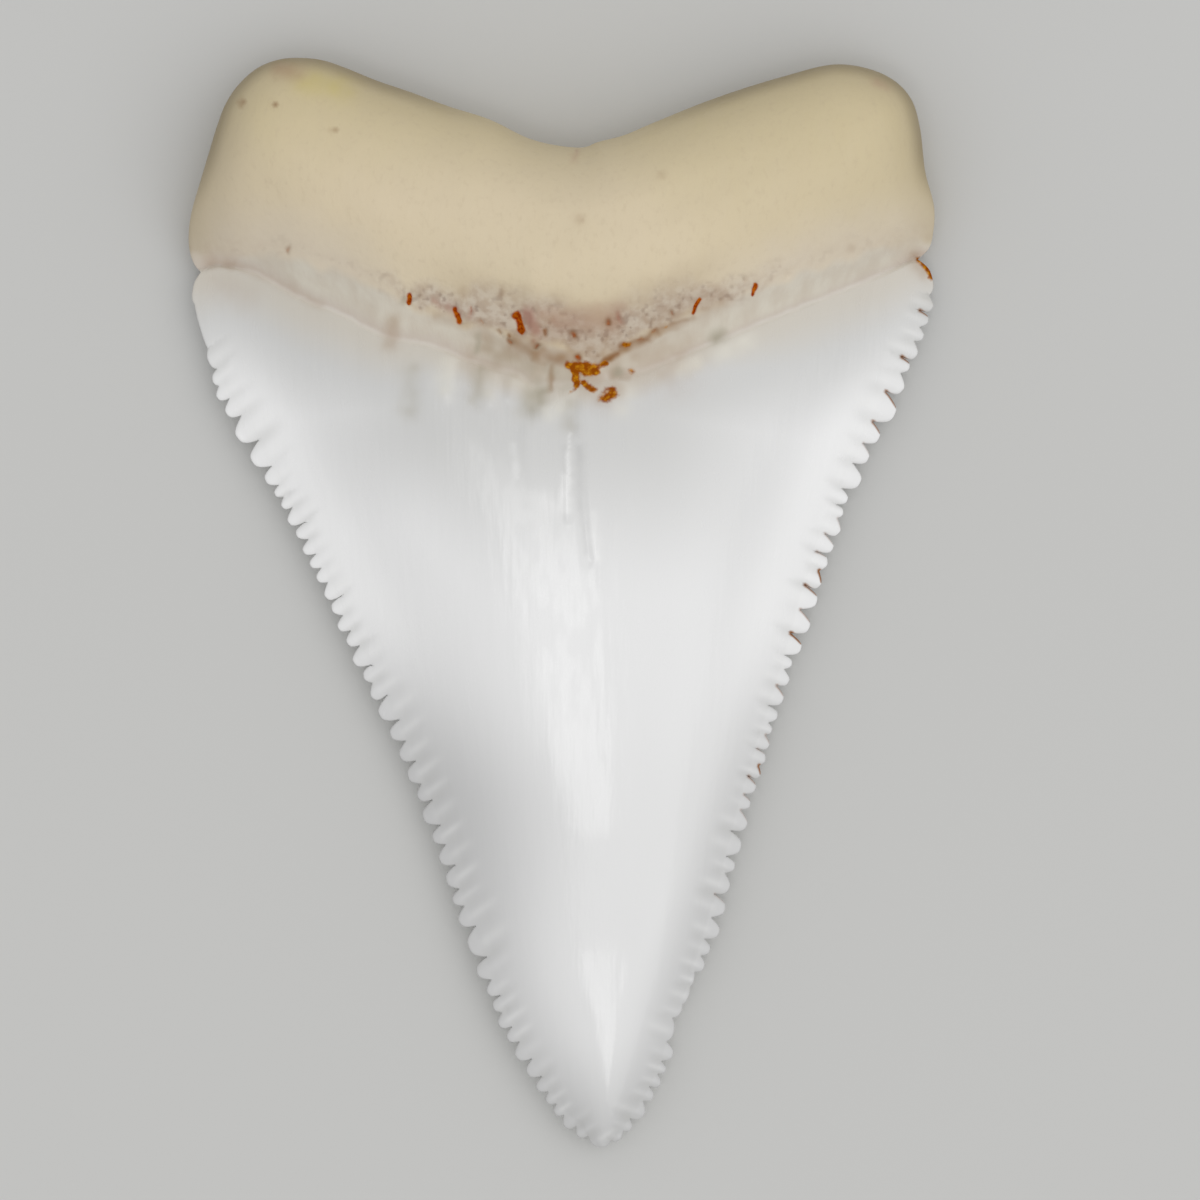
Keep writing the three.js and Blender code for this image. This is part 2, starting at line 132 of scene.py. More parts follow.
# Heights above the surface that the tooth lies on, and what shapes them. Here and below, a pair of places
# in a dictionary is where a smooth change starts and where it ends
EDGE_HEIGHT = 1.2
RIM_HEIGHT = 2.6
BEVEL = {"rise": 0.1, "width": 0.08}  # the narrow rounded rim of the serrations
WEDGE = {"rise": 0.2, "inner": 0.4, "outer": 0.8}  # their thin wedge, inside and outside their feet
CROWN_BULGE = [
    (-27.3, 0), (-26, 0.7), (-24.5, 1.1), (-21, 1.45), (-17.5, 1.8), (-14.5, 2.33), (-11, 2.93),
    (-2.5, 3.77), (5, 4.5), (8, 4.62), (12, 4.45), (17.3, 4),
]  # y, and how high the crest stands over the crown's edges
CROWN_FLATNESS = [
    (-27.3, 1.9), (-23.4, 2), (-21.4, 2.25), (-18, 3.1), (17.3, 3.2),
]  # y, power: a higher one makes the crown's middle flatter
CROWN_BULGE_POWER = 1.5
CREST_MARGIN = 0.05  # how far the crest stays inside the edges, at the very tip
CREST_RIDGE = {"rise": 0.1, "width": 2.4, "softness": 0.12, "starts": (-16, -9), "ends": (5, 9)}
ENAMEL_STEP = 0.15
ROOT_SLAB = 6.2
TORUS = {"height": 3, "x": 0.2, "y": 17, "across": 13, "along": 7}
LOBE_SWELLING = {"height": 0.7, "x": 12, "y": 20.5, "across": 5, "along": 5}
NECK_RAMP = {"middle": 7, "side": 8, "aside": (2, 14)}  # lengths of the climb from the neck
NECK_RAMP_POWERS = (2, 1.6)
LINGUAL_ROUNDING = 3.6
LABIAL_ROUNDING = 2.2
RIM_RAMP = {"start": 16.9, "length": 4}
LABIAL_FLAT = 0.55  # share of the crown's half width that is flat underneath
TIP_LIFT = {"start": -20, "end": -27.2, "height": 0.45}

# Noise by what it makes uneven: how far it reaches, its scale and its seed
NOISES = {
    "lingual_neck": (0.05, 0.4, 3), "labial_neck": (0.05, 0.4, 5),
    "bone_edge": (0.25, 0.8, 4), "porous_edge": (0.35, 0.7, 4),
    "mark_across": (0.07, 0.3, 21), "mark_along": (0.07, 0.3, 22), "mark_strength": (0.35, 0.45, 23),
    "pore_strength": (0.3, 0.14, 24), "pits": (1, 0.2, 31), "pit_patches": (0.5, 0.6, 32),
    "bone_swells": (0.1, 5, 51), "bone_lumps": (0.03, 1.8, 52), "bone_grains": (0.012, 0.8, 53),
}


def smoothstep(value, low, high):
    """0 below low, 1 above high and smooth between them."""
    share = np.clip((value - low) / (high - low), 0, 1)
    return share * share * (3 - 2 * share)


def lerp(a, b, share):
    return a + (b - a) * share


def curve(rows, place, column=1):
    """Value at each place of the smooth curve through rows of (place, value, ...)."""
    knots = np.array([row[0] for row in rows], float)
    values = np.array([row[column] for row in rows], float)
    slopes = np.empty_like(values)
    slopes[1:-1] = (values[2:] - values[:-2]) / (knots[2:] - knots[:-2])
    slopes[0] = (values[1] - values[0]) / (knots[1] - knots[0])
    slopes[-1] = (values[-1] - values[-2]) / (knots[-1] - knots[-2])
    place = np.clip(place, knots[0], knots[-1])
    i = np.clip(np.searchsorted(knots, place) - 1, 0, len(knots) - 2)
    span = knots[i + 1] - knots[i]
    s = (place - knots[i]) / span
    bend = span * s * (1 - s) * (slopes[i] * (1 - s) - slopes[i + 1] * s)
    return lerp(values[i], values[i + 1], s * s * (3 - 2 * s)) + bend


def bump(shape, x, y):
    across = (x - shape["x"]) / shape["across"]
    along = (y - shape["y"]) / shape["along"]
    return shape["height"] * np.exp(-across**2 - along**2)


def quarter_round(share):
    return np.sqrt(1 - (1 - np.clip(share, 0, 1)) ** 2)


def value_noise(x, y, scale, seed):
    """Smooth noise from -1 to 1 whose lumps are about scale across."""
    side = 256
    table = np.random.default_rng(seed).uniform(-1, 1, (side, side))
    u, v = x / scale + side / 2, y / scale + side / 2
    i, j = np.floor(u).astype(int), np.floor(v).astype(int)
    su, sv = u - i, v - j
    su, sv = su * su * (3 - 2 * su), sv * sv * (3 - 2 * sv)
    corner = lambda a, b: table[(i + a) % side, (j + b) % side]
    return lerp(lerp(corner(0, 0), corner(1, 0), su), lerp(corner(0, 1), corner(1, 1), su), sv)


def uneven(name, x, y):
    reach, scale, seed = NOISES[name]
    return reach * value_noise(x, y, scale, seed)


# Outlines
def serration_profile(t):
    rise = np.sin(math.pi / 2 * t / SERRATION_PEAK)
    fall = 1 - ((t - SERRATION_PEAK) / (1 - SERRATION_PEAK)) ** 4
    return np.where(t < SERRATION_PEAK, rise, fall)


def serrated_edge(notches, side):
    """Points of a serrated edge from the root to the tip. side is -1 for the left and 1 for the right."""
    t = (1 - np.cos(np.linspace(0, math.pi, SERRATION_STEPS + 1)[:-1])) / 2
    out = serration_profile(t)
    points = []
    for notch, following in zip(notches, notches[1:]):
        depth = notch[2] if len(notch) > 2 else SERRATION_DEPTH
        across, along = following[0] - notch[0], following[1] - notch[1]
        x = notch[0] + across * t - side * depth * along * out
        y = notch[1] + along * t + side * depth * across * out
        points.append(np.stack([x, y], 1))
    return np.concatenate(points)


def crown_outline():
    left = serrated_edge(LEFT_NOTCHES, -1)
    right = serrated_edge(RIGHT_NOTCHES, 1)
    lowest = np.array([RIGHT_NOTCHES[-1]])
    return np.concatenate([left, lowest, right[::-1]])


def spaced(line, step):
    """The line's points at an even spacing of about step."""
    reach = np.concatenate([[0], np.cumsum(np.hypot(*np.diff(line, axis=0).T))])
    places = np.linspace(0, reach[-1], round(reach[-1] / step) + 1)
    return np.stack([np.interp(places, reach, line[:, k]) for k in (0, 1)], 1)


def root_outline():
    """The centripetal curve through the root's outline points."""
    given = np.array(ROOT_OUTLINE)
    ends = 2 * given[[0, -1]] - given[[1, -2]]
    p = np.concatenate([ends[:1], given, ends[1:]])
    gaps = np.hypot(*np.diff(p, axis=0).T) ** 0.5
    s = np.linspace(0, 1, ROOT_CURVE_STEPS + 1)[:-1, None]
    pieces = []
    for k in range(1, len(p) - 2):
        before, middle, after = gaps[k - 1], gaps[k], gaps[k + 1]
        first = (p[k] - p[k - 1]) / before - (p[k + 1] - p[k - 1]) / (before + middle)
        first = (first + (p[k + 1] - p[k]) / middle) * middle
        second = (p[k + 1] - p[k]) / middle - (p[k + 2] - p[k]) / (middle + after)
        second = (second + (p[k + 2] - p[k + 1]) / after) * middle
        cubic = 2 * p[k] - 2 * p[k + 1] + first + second
        square = 3 * p[k + 1] - 3 * p[k] - 2 * first - second
        pieces.append(p[k] + first * s + square * s**2 + cubic * s**3)
    return spaced(np.concatenate([*pieces, given[-1:]]), RIM_STEP)


def distance_to(points, line):
    """Distance from each point to a line through closely spaced points."""
    tree = KDTree(len(line))
    for i, (x, y) in enumerate(line.tolist()):
        tree.insert((x, y, 0), i)
    tree.balance()
    nearest = np.array([tree.find((x, y, 0))[1] for x, y in points.tolist()])
    distance = np.full(len(points), np.inf)
    for i in (np.clip(nearest - 1, 0, len(line) - 2), np.clip(nearest, 0, len(line) - 2)):
        step, away = line[i + 1] - line[i], points - line[i]
        share = np.clip((away * step).sum(1) / (step**2).sum(1), 0, 1)
        distance = np.minimum(distance, np.hypot(*(away - share[:, None] * step).T))
    return distance


RIM = root_outline()
CROWN_LINE = crown_outline()


def edge_lines(y):
    """Where the feet of the left and right serrations are, across."""
    return curve(CROWN_EDGES, y, 1), curve(CROWN_EDGES, y, 2)


def crown_feet(x, y):
    """How far each place is outside the feet of the serrations, negative between them."""
    left, right = edge_lines(y)
    return np.maximum(left - x, x - right)


def crown_place(x, y):
    """Place across the crown: 0 on its crest, -1 and 1 at the feet of the serrations."""
    left, right = edge_lines(y)
    crest = np.clip(curve(CREST, y), left + CREST_MARGIN, right - CREST_MARGIN)
    return np.clip((x - crest) / np.where(x < crest, crest - left, right - crest), -1, 1)


def rim_height(y):
    start, end = RIM_RAMP["start"], RIM_RAMP["start"] + RIM_RAMP["length"]
    return lerp(EDGE_HEIGHT, RIM_HEIGHT, smoothstep(y, start, end))


def stroke(x, y, ends, width):
    """A stroke between two points, given as x, y, x, y: 1 along its middle and 0 well outside it."""
    x0, y0, x1, y1 = ends
    length = max(math.hypot(x1 - x0, y1 - y0), 1e-6)
    ux, uy = (x1 - x0) / length, (y1 - y0) / length
    s = np.clip(((x - x0) * ux + (y - y0) * uy) / length, 0, 1)
    off = np.hypot(x - x0 - s * length * ux, y - y0 - s * length * uy)
    return np.exp(-((2 * off / width) ** 2))


# Grooves that run in from the notches, and thin ribs between them. Places and widths across them are shares
# of the pitch, and so is how far in they reach, up to the longest pitch. Fades are shares of that reach,
# and a rib starts in millimetres in from the line between its notches
FLUTES = {"reach": 0.85, "longest": 1.6, "reaches": (0.6, 1.3), "strengths": (0.25, 1), "seed": 40}
GROOVE = {"depth": 0.1, "width": 0.42, "fades": (0.1, 1)}
RIB = {"height": 0.025, "place": 0.55, "width": 0.16, "starts": (-0.3, 0.2), "fades": (0.4, 1.2)}
FLUTE_SLANTS = {-1: 0.75, 1: 0.4}  # how much they slant up towards the root, by side
LABIAL_FLUTES = 0.5  # how much of them the labial face has
FLUTED_NOTCHES = {-1: LEFT_NOTCHES[2:], 1: RIGHT_NOTCHES[1:]}


def flutes(x, y):
    """Grooves, 1 at their notches, and the thin ribs between them, 1 along their middles."""
    grooves, ribs = np.zeros_like(x), np.zeros_like(x)
    for side, notches in FLUTED_NOTCHES.items():
        places = np.array([notch[:2] for notch in notches])
        slant = side * FLUTE_SLANTS[side]
        down = -(places[:, 1] + slant * places[:, 0])
        q = -(y + slant * x)
        k = np.clip(np.searchsorted(down, q) - 1, 0, len(down) - 2)
        pitch = down[k + 1] - down[k]
        phase = (q - down[k]) / pitch
        inward = -side * (x - lerp(places[k, 0], places[k + 1, 0], phase))
        draws = np.random.default_rng(FLUTES["seed"] + side)
        grooved, ribbed, long = draws.uniform(*FLUTES["strengths"], (3, len(down)))
        reach = FLUTES["reach"] * np.minimum(pitch, FLUTES["longest"]) * lerp(*FLUTES["reaches"], long[k])
        groove = 1 - smoothstep(np.minimum(phase, 1 - phase), 0, GROOVE["width"])
        groove *= grooved[np.where(phase < 0.5, k, k + 1)]
        groove *= 1 - smoothstep(inward / reach, *GROOVE["fades"])
        rib = np.exp(-((phase - RIB["place"]) / RIB["width"]) ** 2) * ribbed[k]
        rib *= smoothstep(inward, *RIB["starts"]) * (1 - smoothstep(inward / reach, *RIB["fades"]))
        here = (phase > 0) & (phase < 1)
        grooves = np.maximum(grooves, groove * here)
        ribs = np.maximum(ribs, rib * here)
    return grooves, ribs


def flute_relief(x, y):
    grooves, ribs = flutes(x, y)
    return RIB["height"] * ribs - GROOVE["depth"] * grooves


# Brown stains on the right edge: its first notch that may have one, the strength below which a notch stays
# clean, and strokes over the serration below the notch, each up to a step of its outline and with a width
STAIN = {
    "first": 2, "clean": 0.25, "seed": 7, "strokes": [(2, 0.3), (4, 0.24), (6, 0.16)], "starts": (-24, -8),
}


def notch_stain(x, y):
    """1 in the brown stains just below some of the right edge's notches."""
    strengths = np.random.default_rng(STAIN["seed"]).uniform(0, 1, len(RIGHT_NOTCHES))
    edge = serrated_edge(RIGHT_NOTCHES, 1)
    stain = np.zeros_like(x)
    for k in range(STAIN["first"], len(RIGHT_NOTCHES) - 1):
        if strengths[k] > STAIN["clean"]:
            for steps, width in STAIN["strokes"]:
                ends = edge[k * SERRATION_STEPS + np.array([0, steps])].ravel()
                stain = np.maximum(stain, strengths[k] * stroke(x, y, ends, width))
    return stain * smoothstep(y, *STAIN["starts"])


# Folds of the crown below the neck: x and y of both ends, width and height. A negative height is a groove
FOLDS = [
    (0.3, 7.6, 0.3, 4.1, 0.3, 0.055), (0.75, 7.8, 1.35, 2.1, 0.5, -0.065),
    (1.35, 2.1, 2.1, -7.5, 0.5, -0.015), (-1.85, 8.2, -1.8, 5.8, 0.9, 0.012),
    (-7.4, 11.6, -7.5, 9.4, 1, -0.05), (-4.05, 11.5, -4.2, 9.9, 0.7, -0.05),
    (-1.2, 10.5, -1.7, 9.6, 1, -0.07), (-5.6, 12.1, -5.75, 10.4, 0.8, 0.05),
    (-3.3, 11.5, -3.5, 10.1, 0.7, 0.05), (-2.4, 11.1, -2.6, 10.2, 0.6, 0.04),
    (0.6, 10, 0.5, 8.9, 0.7, -0.04), (5.6, 11.9, 5.4, 10.6, 0.8, -0.03), (8.2, 13.1, 7.9, 11.5, 0.9, -0.03),
    (-10.4, 13.6, -10.2, 12, 1, -0.03),
]


def crown_bulge(x, y):
    across = 1 - np.abs(crown_place(x, y)) ** curve(CROWN_FLATNESS, y)
    return curve(CROWN_BULGE, y) * across**CROWN_BULGE_POWER


def crest_ridge(x, y):
    """A fine sharp ridge along the crest, which fades out at the tip and at the neck."""
    away = np.hypot(x - curve(CREST, y), CREST_RIDGE["softness"])
    fade = smoothstep(y, *CREST_RIDGE["starts"]) * (1 - smoothstep(y, *CREST_RIDGE["ends"]))
    return CREST_RIDGE["rise"] * fade * np.exp(-away / CREST_RIDGE["width"])


def flange_rise(x, y, edge_distance):
    wedge = WEDGE["rise"] * (1 - smoothstep(crown_feet(x, y), -WEDGE["inner"], WEDGE["outer"]))
    return wedge + BEVEL["rise"] * quarter_round(edge_distance / BEVEL["width"])


def crown_height(x, y, edge_distance):
    height = EDGE_HEIGHT + flange_rise(x, y, edge_distance) + crown_bulge(x, y) + crest_ridge(x, y)
    for *ends, width, rise in FOLDS:
        height += rise * stroke(x, y, ends, width)
    return height


# Pores of the bone: x and y of both ends, width, depth and how much rust they hold
PORES = [
    (-7.5, 15.25, -7.58, 14.85, 0.24, 0.25, 0.8), (-5.3, 14.5, -5.05, 13.95, 0.3, 0.35, 1),
    (-4.5, 14.55, -4.5, 14.25, 0.18, 0.15, 0.35), (-6.15, 15, -6, 14.7, 0.16, 0.1, 0.2),
    (-3.95, 13.95, -3.9, 13.85, 0.18, 0.1, 0.3), (-3.1, 13.35, -2.95, 13.15, 0.16, 0.12, 0.1),
    (-2.65, 13, -2.45, 12.8, 0.18, 0.16, 0.28), (-2.2, 14.2, -1.95, 13.45, 0.34, 0.38, 1),
    (-1.15, 12.75, -1.25, 12.6, 0.2, 0.16, 0.28), (-0.8, 13.55, -0.8, 13.2, 0.18, 0.18, 0.2),
    (0.55, 13.3, 0.6, 13.2, 0.26, 0.28, 0.4), (0.8, 12.15, 0.85, 12.1, 0.28, 0.15, 0.5),
    (2.3, 13.95, 2.3, 13.8, 0.2, 0.16, 0.3), (2.8, 14.3, 2.85, 13.8, 0.3, 0.12, 0.2),
    (5.45, 14.4, 5.45, 14.25, 0.18, 0.14, 0.25), (6.85, 15.05, 6.5, 14.3, 0.18, 0.22, 0.85),
    (9.6, 15.75, 9.4, 15.3, 0.2, 0.24, 0.85), (9.1, 16.1, 9.1, 15.9, 0.22, 0.1, 0),
    (11.15, 16.35, 11.15, 16.25, 0.22, 0.1, 0), (3.25, 13.1, 3.4, 13.1, 0.16, 0.1, 0.1),
    (-13.58, 17.6, -13.58, 17.45, 0.28, 0.08, 0.25),
]
PORE_STRENGTH = 0.85
PITS = {"depth": 0.07, "lumps": (0.35, 0.8)}
POROUS_V = {
    "middle": 0.8, "width": (2.4, 1.2), "narrows": (3, 9), "starts": (-0.2, 0.5), "ends": (0.4, 1.2),
    "fades": (6.5, 11), "fade": 0.85,
}  # the pitted bone above the neck. Its ends are shares of its width
BONE_RELIEF_STARTS = (1, 4)  # above the neck

# The line between enamel and root: its widths in the middle, beside it and at its ends
NECK_LINE = {"middle": 0.5, "widths": (0.7, 0.45, 0.16), "narrows": (1.5, 6), "sharpens": (15.5, 17.5)}


def warped(x, y):
    """The places moved about a little, so that what is drawn at them gets uneven outlines."""
    return x + uneven("mark_across", x, y), y + uneven("mark_along", x, y)


def pores(x, y):
    """Depth of the pores and the rust in them."""
    ragged = PORE_STRENGTH + uneven("pore_strength", x, y)
    x, y = warped(x, y)
    depth, rust = np.zeros_like(x), np.zeros_like(x)
    for *ends, width, deep, rusty in PORES:
        mark = ragged * stroke(x, y, ends, width)
        depth = np.maximum(depth, deep * mark)
        rust = np.maximum(rust, rusty * mark)
    return depth, rust


def porous_share(x, y):
    """1 in the pitted V of bone above the neck, which is widest in the middle and ends before the sides."""
    above = y - curve(BONE_EDGE, x) - uneven("porous_edge", x, y)
    aside = np.abs(x - POROUS_V["middle"])
    width = lerp(*POROUS_V["width"], smoothstep(aside, *POROUS_V["narrows"]))
    share = smoothstep(above, *POROUS_V["starts"]) * (1 - smoothstep(above / width, *POROUS_V["ends"]))
    return share * (1 - POROUS_V["fade"] * smoothstep(aside, *POROUS_V["fades"]))


def pits(x, y):
    """1 in each of the bone's tiny pits."""
    lumps = uneven("pits", x, y) + uneven("pit_patches", x, y)
    return porous_share(x, y) * smoothstep(lumps, *PITS["lumps"])


def bone_relief(x, y):
    return sum(uneven(name, x, y) for name in ("bone_swells", "bone_lumps", "bone_grains"))


def root_height(x, y, rim_distance):
    neck = curve(LINGUAL_NECK, x)
    beside = EDGE_HEIGHT + BEVEL["rise"] + WEDGE["rise"] - ENAMEL_STEP + crown_bulge(x, neck)
    ramp = lerp(NECK_RAMP["middle"], NECK_RAMP["side"], smoothstep(np.abs(x), *NECK_RAMP["aside"]))
    ease_out, ease_in = NECK_RAMP_POWERS
    climb = (1 - (1 - np.clip((y - neck) / ramp, 0, 1)) ** ease_out) ** ease_in
    full = ROOT_SLAB + bump(TORUS, x, y) + bump(LOBE_SWELLING, np.abs(x), y)
    rim = rim_height(y)
    rise = np.maximum(lerp(beside, full, climb) - rim, ENAMEL_STEP)
    rise += bone_relief(x, y) * smoothstep(y - neck, *BONE_RELIEF_STARTS)
    return rim + rise * quarter_round(rim_distance / LINGUAL_ROUNDING)


def neck_blend(x, above):
    """0 on the enamel and 1 on the root: a crisp line at the sides and a soft one in the middle."""
    middle, beside, end = NECK_LINE["widths"]
    aside = np.abs(x - NECK_LINE["middle"])
    width = lerp(middle, beside, smoothstep(aside, *NECK_LINE["narrows"]))
    return smoothstep(above, 0, lerp(width, end, smoothstep(aside, *NECK_LINE["sharpens"])))


def lingual_height(x, y, edge_distance, rim_distance):
    above = y - curve(LINGUAL_NECK, x)
    crown = crown_height(x, y, edge_distance) + flute_relief(x, y)
    root = root_height(x, y, rim_distance) - pores(x, y)[0] - PITS["depth"] * pits(x, y)
    return lerp(crown, root, neck_blend(x, above))


def labial_height(x, y, edge_distance, rim_distance):
    rise = (np.maximum(np.abs(crown_place(x, y)) - LABIAL_FLAT, 0) / (1 - LABIAL_FLAT)) ** 2
    lift = TIP_LIFT["height"] * smoothstep(-y, -TIP_LIFT["start"], -TIP_LIFT["end"]) ** 2
    feet = EDGE_HEIGHT - BEVEL["rise"] - WEDGE["rise"]
    crown = np.maximum(rise * feet, lift) - LABIAL_FLUTES * flute_relief(x, y)
    wedge = smoothstep(crown_feet(x, y), -WEDGE["inner"], WEDGE["outer"])
    crown = lerp(crown, EDGE_HEIGHT - BEVEL["rise"], wedge)
    crown = lerp(crown, EDGE_HEIGHT, 1 - quarter_round(edge_distance / BEVEL["width"]))
    rounded = rim_height(y) * (1 - quarter_round(rim_distance / LABIAL_ROUNDING))
    above = y - curve(LABIAL_NECK, x)
    return lerp(crown, rounded, smoothstep(above, 0, LABIAL_ROUNDING))


# Marks in colour alone, by name: x and y of both ends, width and strength
MARKS = {
    "rust": [
        (0.7, 11.65, 1.6, 11.6, 0.66, 1.25), (0.3, 11.75, 0.75, 11.65, 0.4, 1),
        (1.6, 11.65, 2.2, 11.8, 0.4, 1), (0.75, 11.4, 0.75, 10.8, 0.44, 0.95),
        (0.8, 10.7, 0.45, 10.4, 0.28, 0.65), (1.15, 10.9, 1.65, 10.55, 0.4, 0.95),
        (2.15, 10.2, 2.45, 10.3, 0.7, 1.05), (2.25, 10.5, 2.5, 10.55, 0.5, 0.9),
        (3.4, 11.55, 3.45, 11.5, 0.45, 0.7), (3.15, 12.75, 3.35, 12.8, 0.32, 0.7),
        (3.6, 12.95, 4, 13.05, 0.24, 0.6), (4.45, 13.3, 4.6, 13.45, 0.24, 0.6),
        (2.05, 11.8, 2.15, 11.8, 0.4, 0.8), (5.1, 13.6, 5.2, 13.65, 0.2, 0.5),
        (17.85, 17.15, 18.15, 16.85, 0.4, 1), (18.1, 16.95, 18.5, 16.2, 0.3, 0.95),
    ],
    "seam": [
        (1.8, 11.8, 2.75, 12.3, 0.24, 0.8), (2.95, 12.7, 4.2, 13.05, 0.3, 0.9),
        (2.7, 12.3, 3, 12.6, 0.2, 0.4), (4.2, 13.1, 4.7, 13.5, 0.32, 0.8), (4.7, 13.5, 6.2, 14, 0.22, 0.4),
        (0.3, 11.8, -0.9, 12.15, 0.4, 0.45), (-0.9, 12.15, -2.4, 12.75, 0.6, 0.3),
        (-3.1, 13.45, -3.05, 13.35, 0.16, 0.8), (-2.6, 13.22, -2.55, 13.15, 0.18, 0.9),
        (-0.84, 13.45, -0.84, 13.2, 0.18, 0.8), (-0.5, 11.75, -0.5, 10.6, 0.2, 0.22),
        (0.55, 13.3, 0.6, 13.2, 0.32, 1), (0.8, 12.15, 0.85, 12.1, 0.34, 1),
        (2.3, 13.95, 2.3, 13.8, 0.26, 0.7), (5.45, 14.4, 5.45, 14.25, 0.22, 0.5),
        (-2.6, 13, -2.5, 12.85, 0.24, 0.6), (-1.15, 12.75, -1.25, 12.6, 0.26, 0.7),
        (-3.95, 13.95, -3.9, 13.85, 0.3, 0.35),
    ],
    "tan": [
        (2.2, 12, 4.5, 13.2, 0.55, 1), (4.5, 13.2, 6.5, 14.1, 0.5, 0.7), (-2.3, 12.9, -1, 12.2, 0.9, 1),
        (-1.2, 12.2, 0.6, 12.1, 0.9, 1), (-0.4, 12, -0.6, 10.6, 0.5, 0.7), (-4.2, 13.4, -3, 12.5, 1, 0.5),
        (-6.2, 14.2, -4.6, 13.6, 0.6, 0.4), (-17.6, 17, -16.4, 16.9, 0.7, 0.35),
        (-16.4, 16.9, -14.5, 16.1, 0.6, 0.25), (-14.5, 16.1, -12, 14.8, 0.6, 0.2),
        (-14, 26.35, -13.2, 26.25, 0.9, 0.3), (-8.35, 14, -8.5, 12.8, 0.8, 0.5),
        (2.1, 10.3, 2.5, 10.55, 1.4, 0.6), (0.6, 11.8, 1.6, 10.9, 1.6, 0.6),
        (3.4, 11.5, 2.8, 11.4, 0.8, 0.6), (-3.5, 12.5, -2, 12.2, 1.4, 0.6),
        (-0.5, 13.6, 2.6, 13.7, 1.8, 0.35), (4.6, 13.9, 7.6, 14.9, 1.4, 0.4),
        (2.6, 11.3, 3.2, 11.4, 0.9, 0.7), (-3.5, 12.2, 5.2, 12.2, 3.2, 0.4),
        (-1.4, 12.5, -0.6, 12.2, 1.1, 0.9), (17.7, 17.3, 18.2, 16.7, 1, 0.6),
        (-17.2, 15.9, -15.9, 15.4, 1.8, 0.15),
    ],
    "olive": [
        (-1.1, 10.6, -1.6, 9.75, 1.2, 0.9), (-4.1, 13.2, -4.15, 12.5, 0.4, 0.6),
        (7.6, 13.1, 7.9, 13.3, 0.7, 0.8), (2.75, 11.4, 2.85, 11.45, 0.5, 0.9),
        (-7.45, 11.5, -7.55, 9.6, 1.1, 0.35), (-4.05, 11.5, -4.3, 10.1, 0.8, 0.45),
        (-1.15, 12.65, -1.25, 12.55, 0.35, 0.7), (-7.7, 15, -7.8, 14.8, 0.4, 0.6),
        (0.45, 9.7, 0.4, 8.9, 1, 0.35), (-3.3, 12.4, -1.6, 11.6, 1.6, 0.3),
        (-0.6, 11.6, 0.3, 10.9, 1.2, 0.4),
    ],
    "pink": [
        (-1.7, 14.2, -1.3, 13.4, 0.7, 1), (-1.35, 12.9, -1.3, 12.75, 0.3, 0.9),
        (-5.6, 14.6, -5.2, 14.3, 0.5, 0.7), (-0.2, 13.9, 1.8, 13.9, 1.2, 0.6),
        (2.3, 14.1, 2.5, 13.7, 0.8, 0.6), (2.8, 14.3, 2.85, 13.8, 0.4, 0.8), (-1, 14.2, 3, 14.5, 0.7, 0.4),
        (-4.5, 14.4, -4.5, 14.2, 0.35, 0.5), (-6.3, 15, -5.9, 14.7, 0.35, 0.5),
        (-14, 26.4, -13.1, 26.3, 0.8, 0.25), (15.6, 25.8, 16.1, 25.6, 0.5, 0.35),
        (0.75, 22.4, 0.6, 21.9, 0.3, 0.5),
    ],
    "cream": [
        (-5.6, 11.8, -5.75, 10.7, 1, 0.8), (-3.5, 11.3, -3.6, 10.4, 0.9, 0.6),
        (-2.4, 11, -1.4, 10.8, 0.8, 0.6), (0.1, 9.8, -0.6, 9.4, 0.8, 0.6), (3.2, 10.4, 2.9, 9.8, 1.1, 0.6),
        (5.9, 11.6, 6.6, 11.9, 0.8, 0.9), (7.8, 12.3, 9.3, 13, 0.9, 0.6),
    ],
    "spot": [
        (-15.9, 24.85, -15.87, 24.8, 0.27, 1.2), (-14.2, 24.65, -14.17, 24.62, 0.28, 0.9),
        (-13.58, 17.6, -13.58, 17.45, 0.26, 0.5), (-11.55, 23.25, -11.05, 23.35, 0.14, 0.5),
        (0.9, 18.9, 0.9, 18.8, 0.5, 0.25), (4.9, 21.05, 5, 21, 0.4, 0.25),
        (14.3, 17.65, 14.4, 17.6, 0.4, 0.25), (-2.9, 15.4, -2.95, 15.2, 0.3, 0.4),
        (-7, 15.5, -6.9, 15.2, 0.5, 0.3), (-4.9, 15.5, -4.9, 15.2, 0.4, 0.25),
    ],
    # Painted highlights beside the folds of the upper crown
    "light": [
        (0.36, 8.4, 0.34, 7, 0.12, 0.8), (0.32, 7.4, 0.26, 5.2, 0.24, 1), (0.2, 6.2, 0.24, 4.6, 0.44, 1),
        (1.6, 4.4, 1.8, 2.2, 0.4, 0.6), (-2.4, 7.8, -2.2, 6.2, 0.3, 0.5), (-0.9, 5.2, -0.4, 4.6, 0.9, 0.4),
    ],
    # Painted shade along the folds of the upper crown
    "shade": [
        (0.75, 8.6, 1, 4.6, 0.5, 1), (1, 4.6, 1.25, 2.6, 0.36, 0.9), (-2, 8.6, -1.7, 4.8, 0.6, 0.4),
        (0.3, 10, 0.35, 8.6, 0.4, 0.5),
    ],
    "yellow": [(-12.6, 25.8, -10.9, 25.5, 1.4, 0.9), (-12.3, 26, -11.6, 25.8, 1, 0.5)],
}

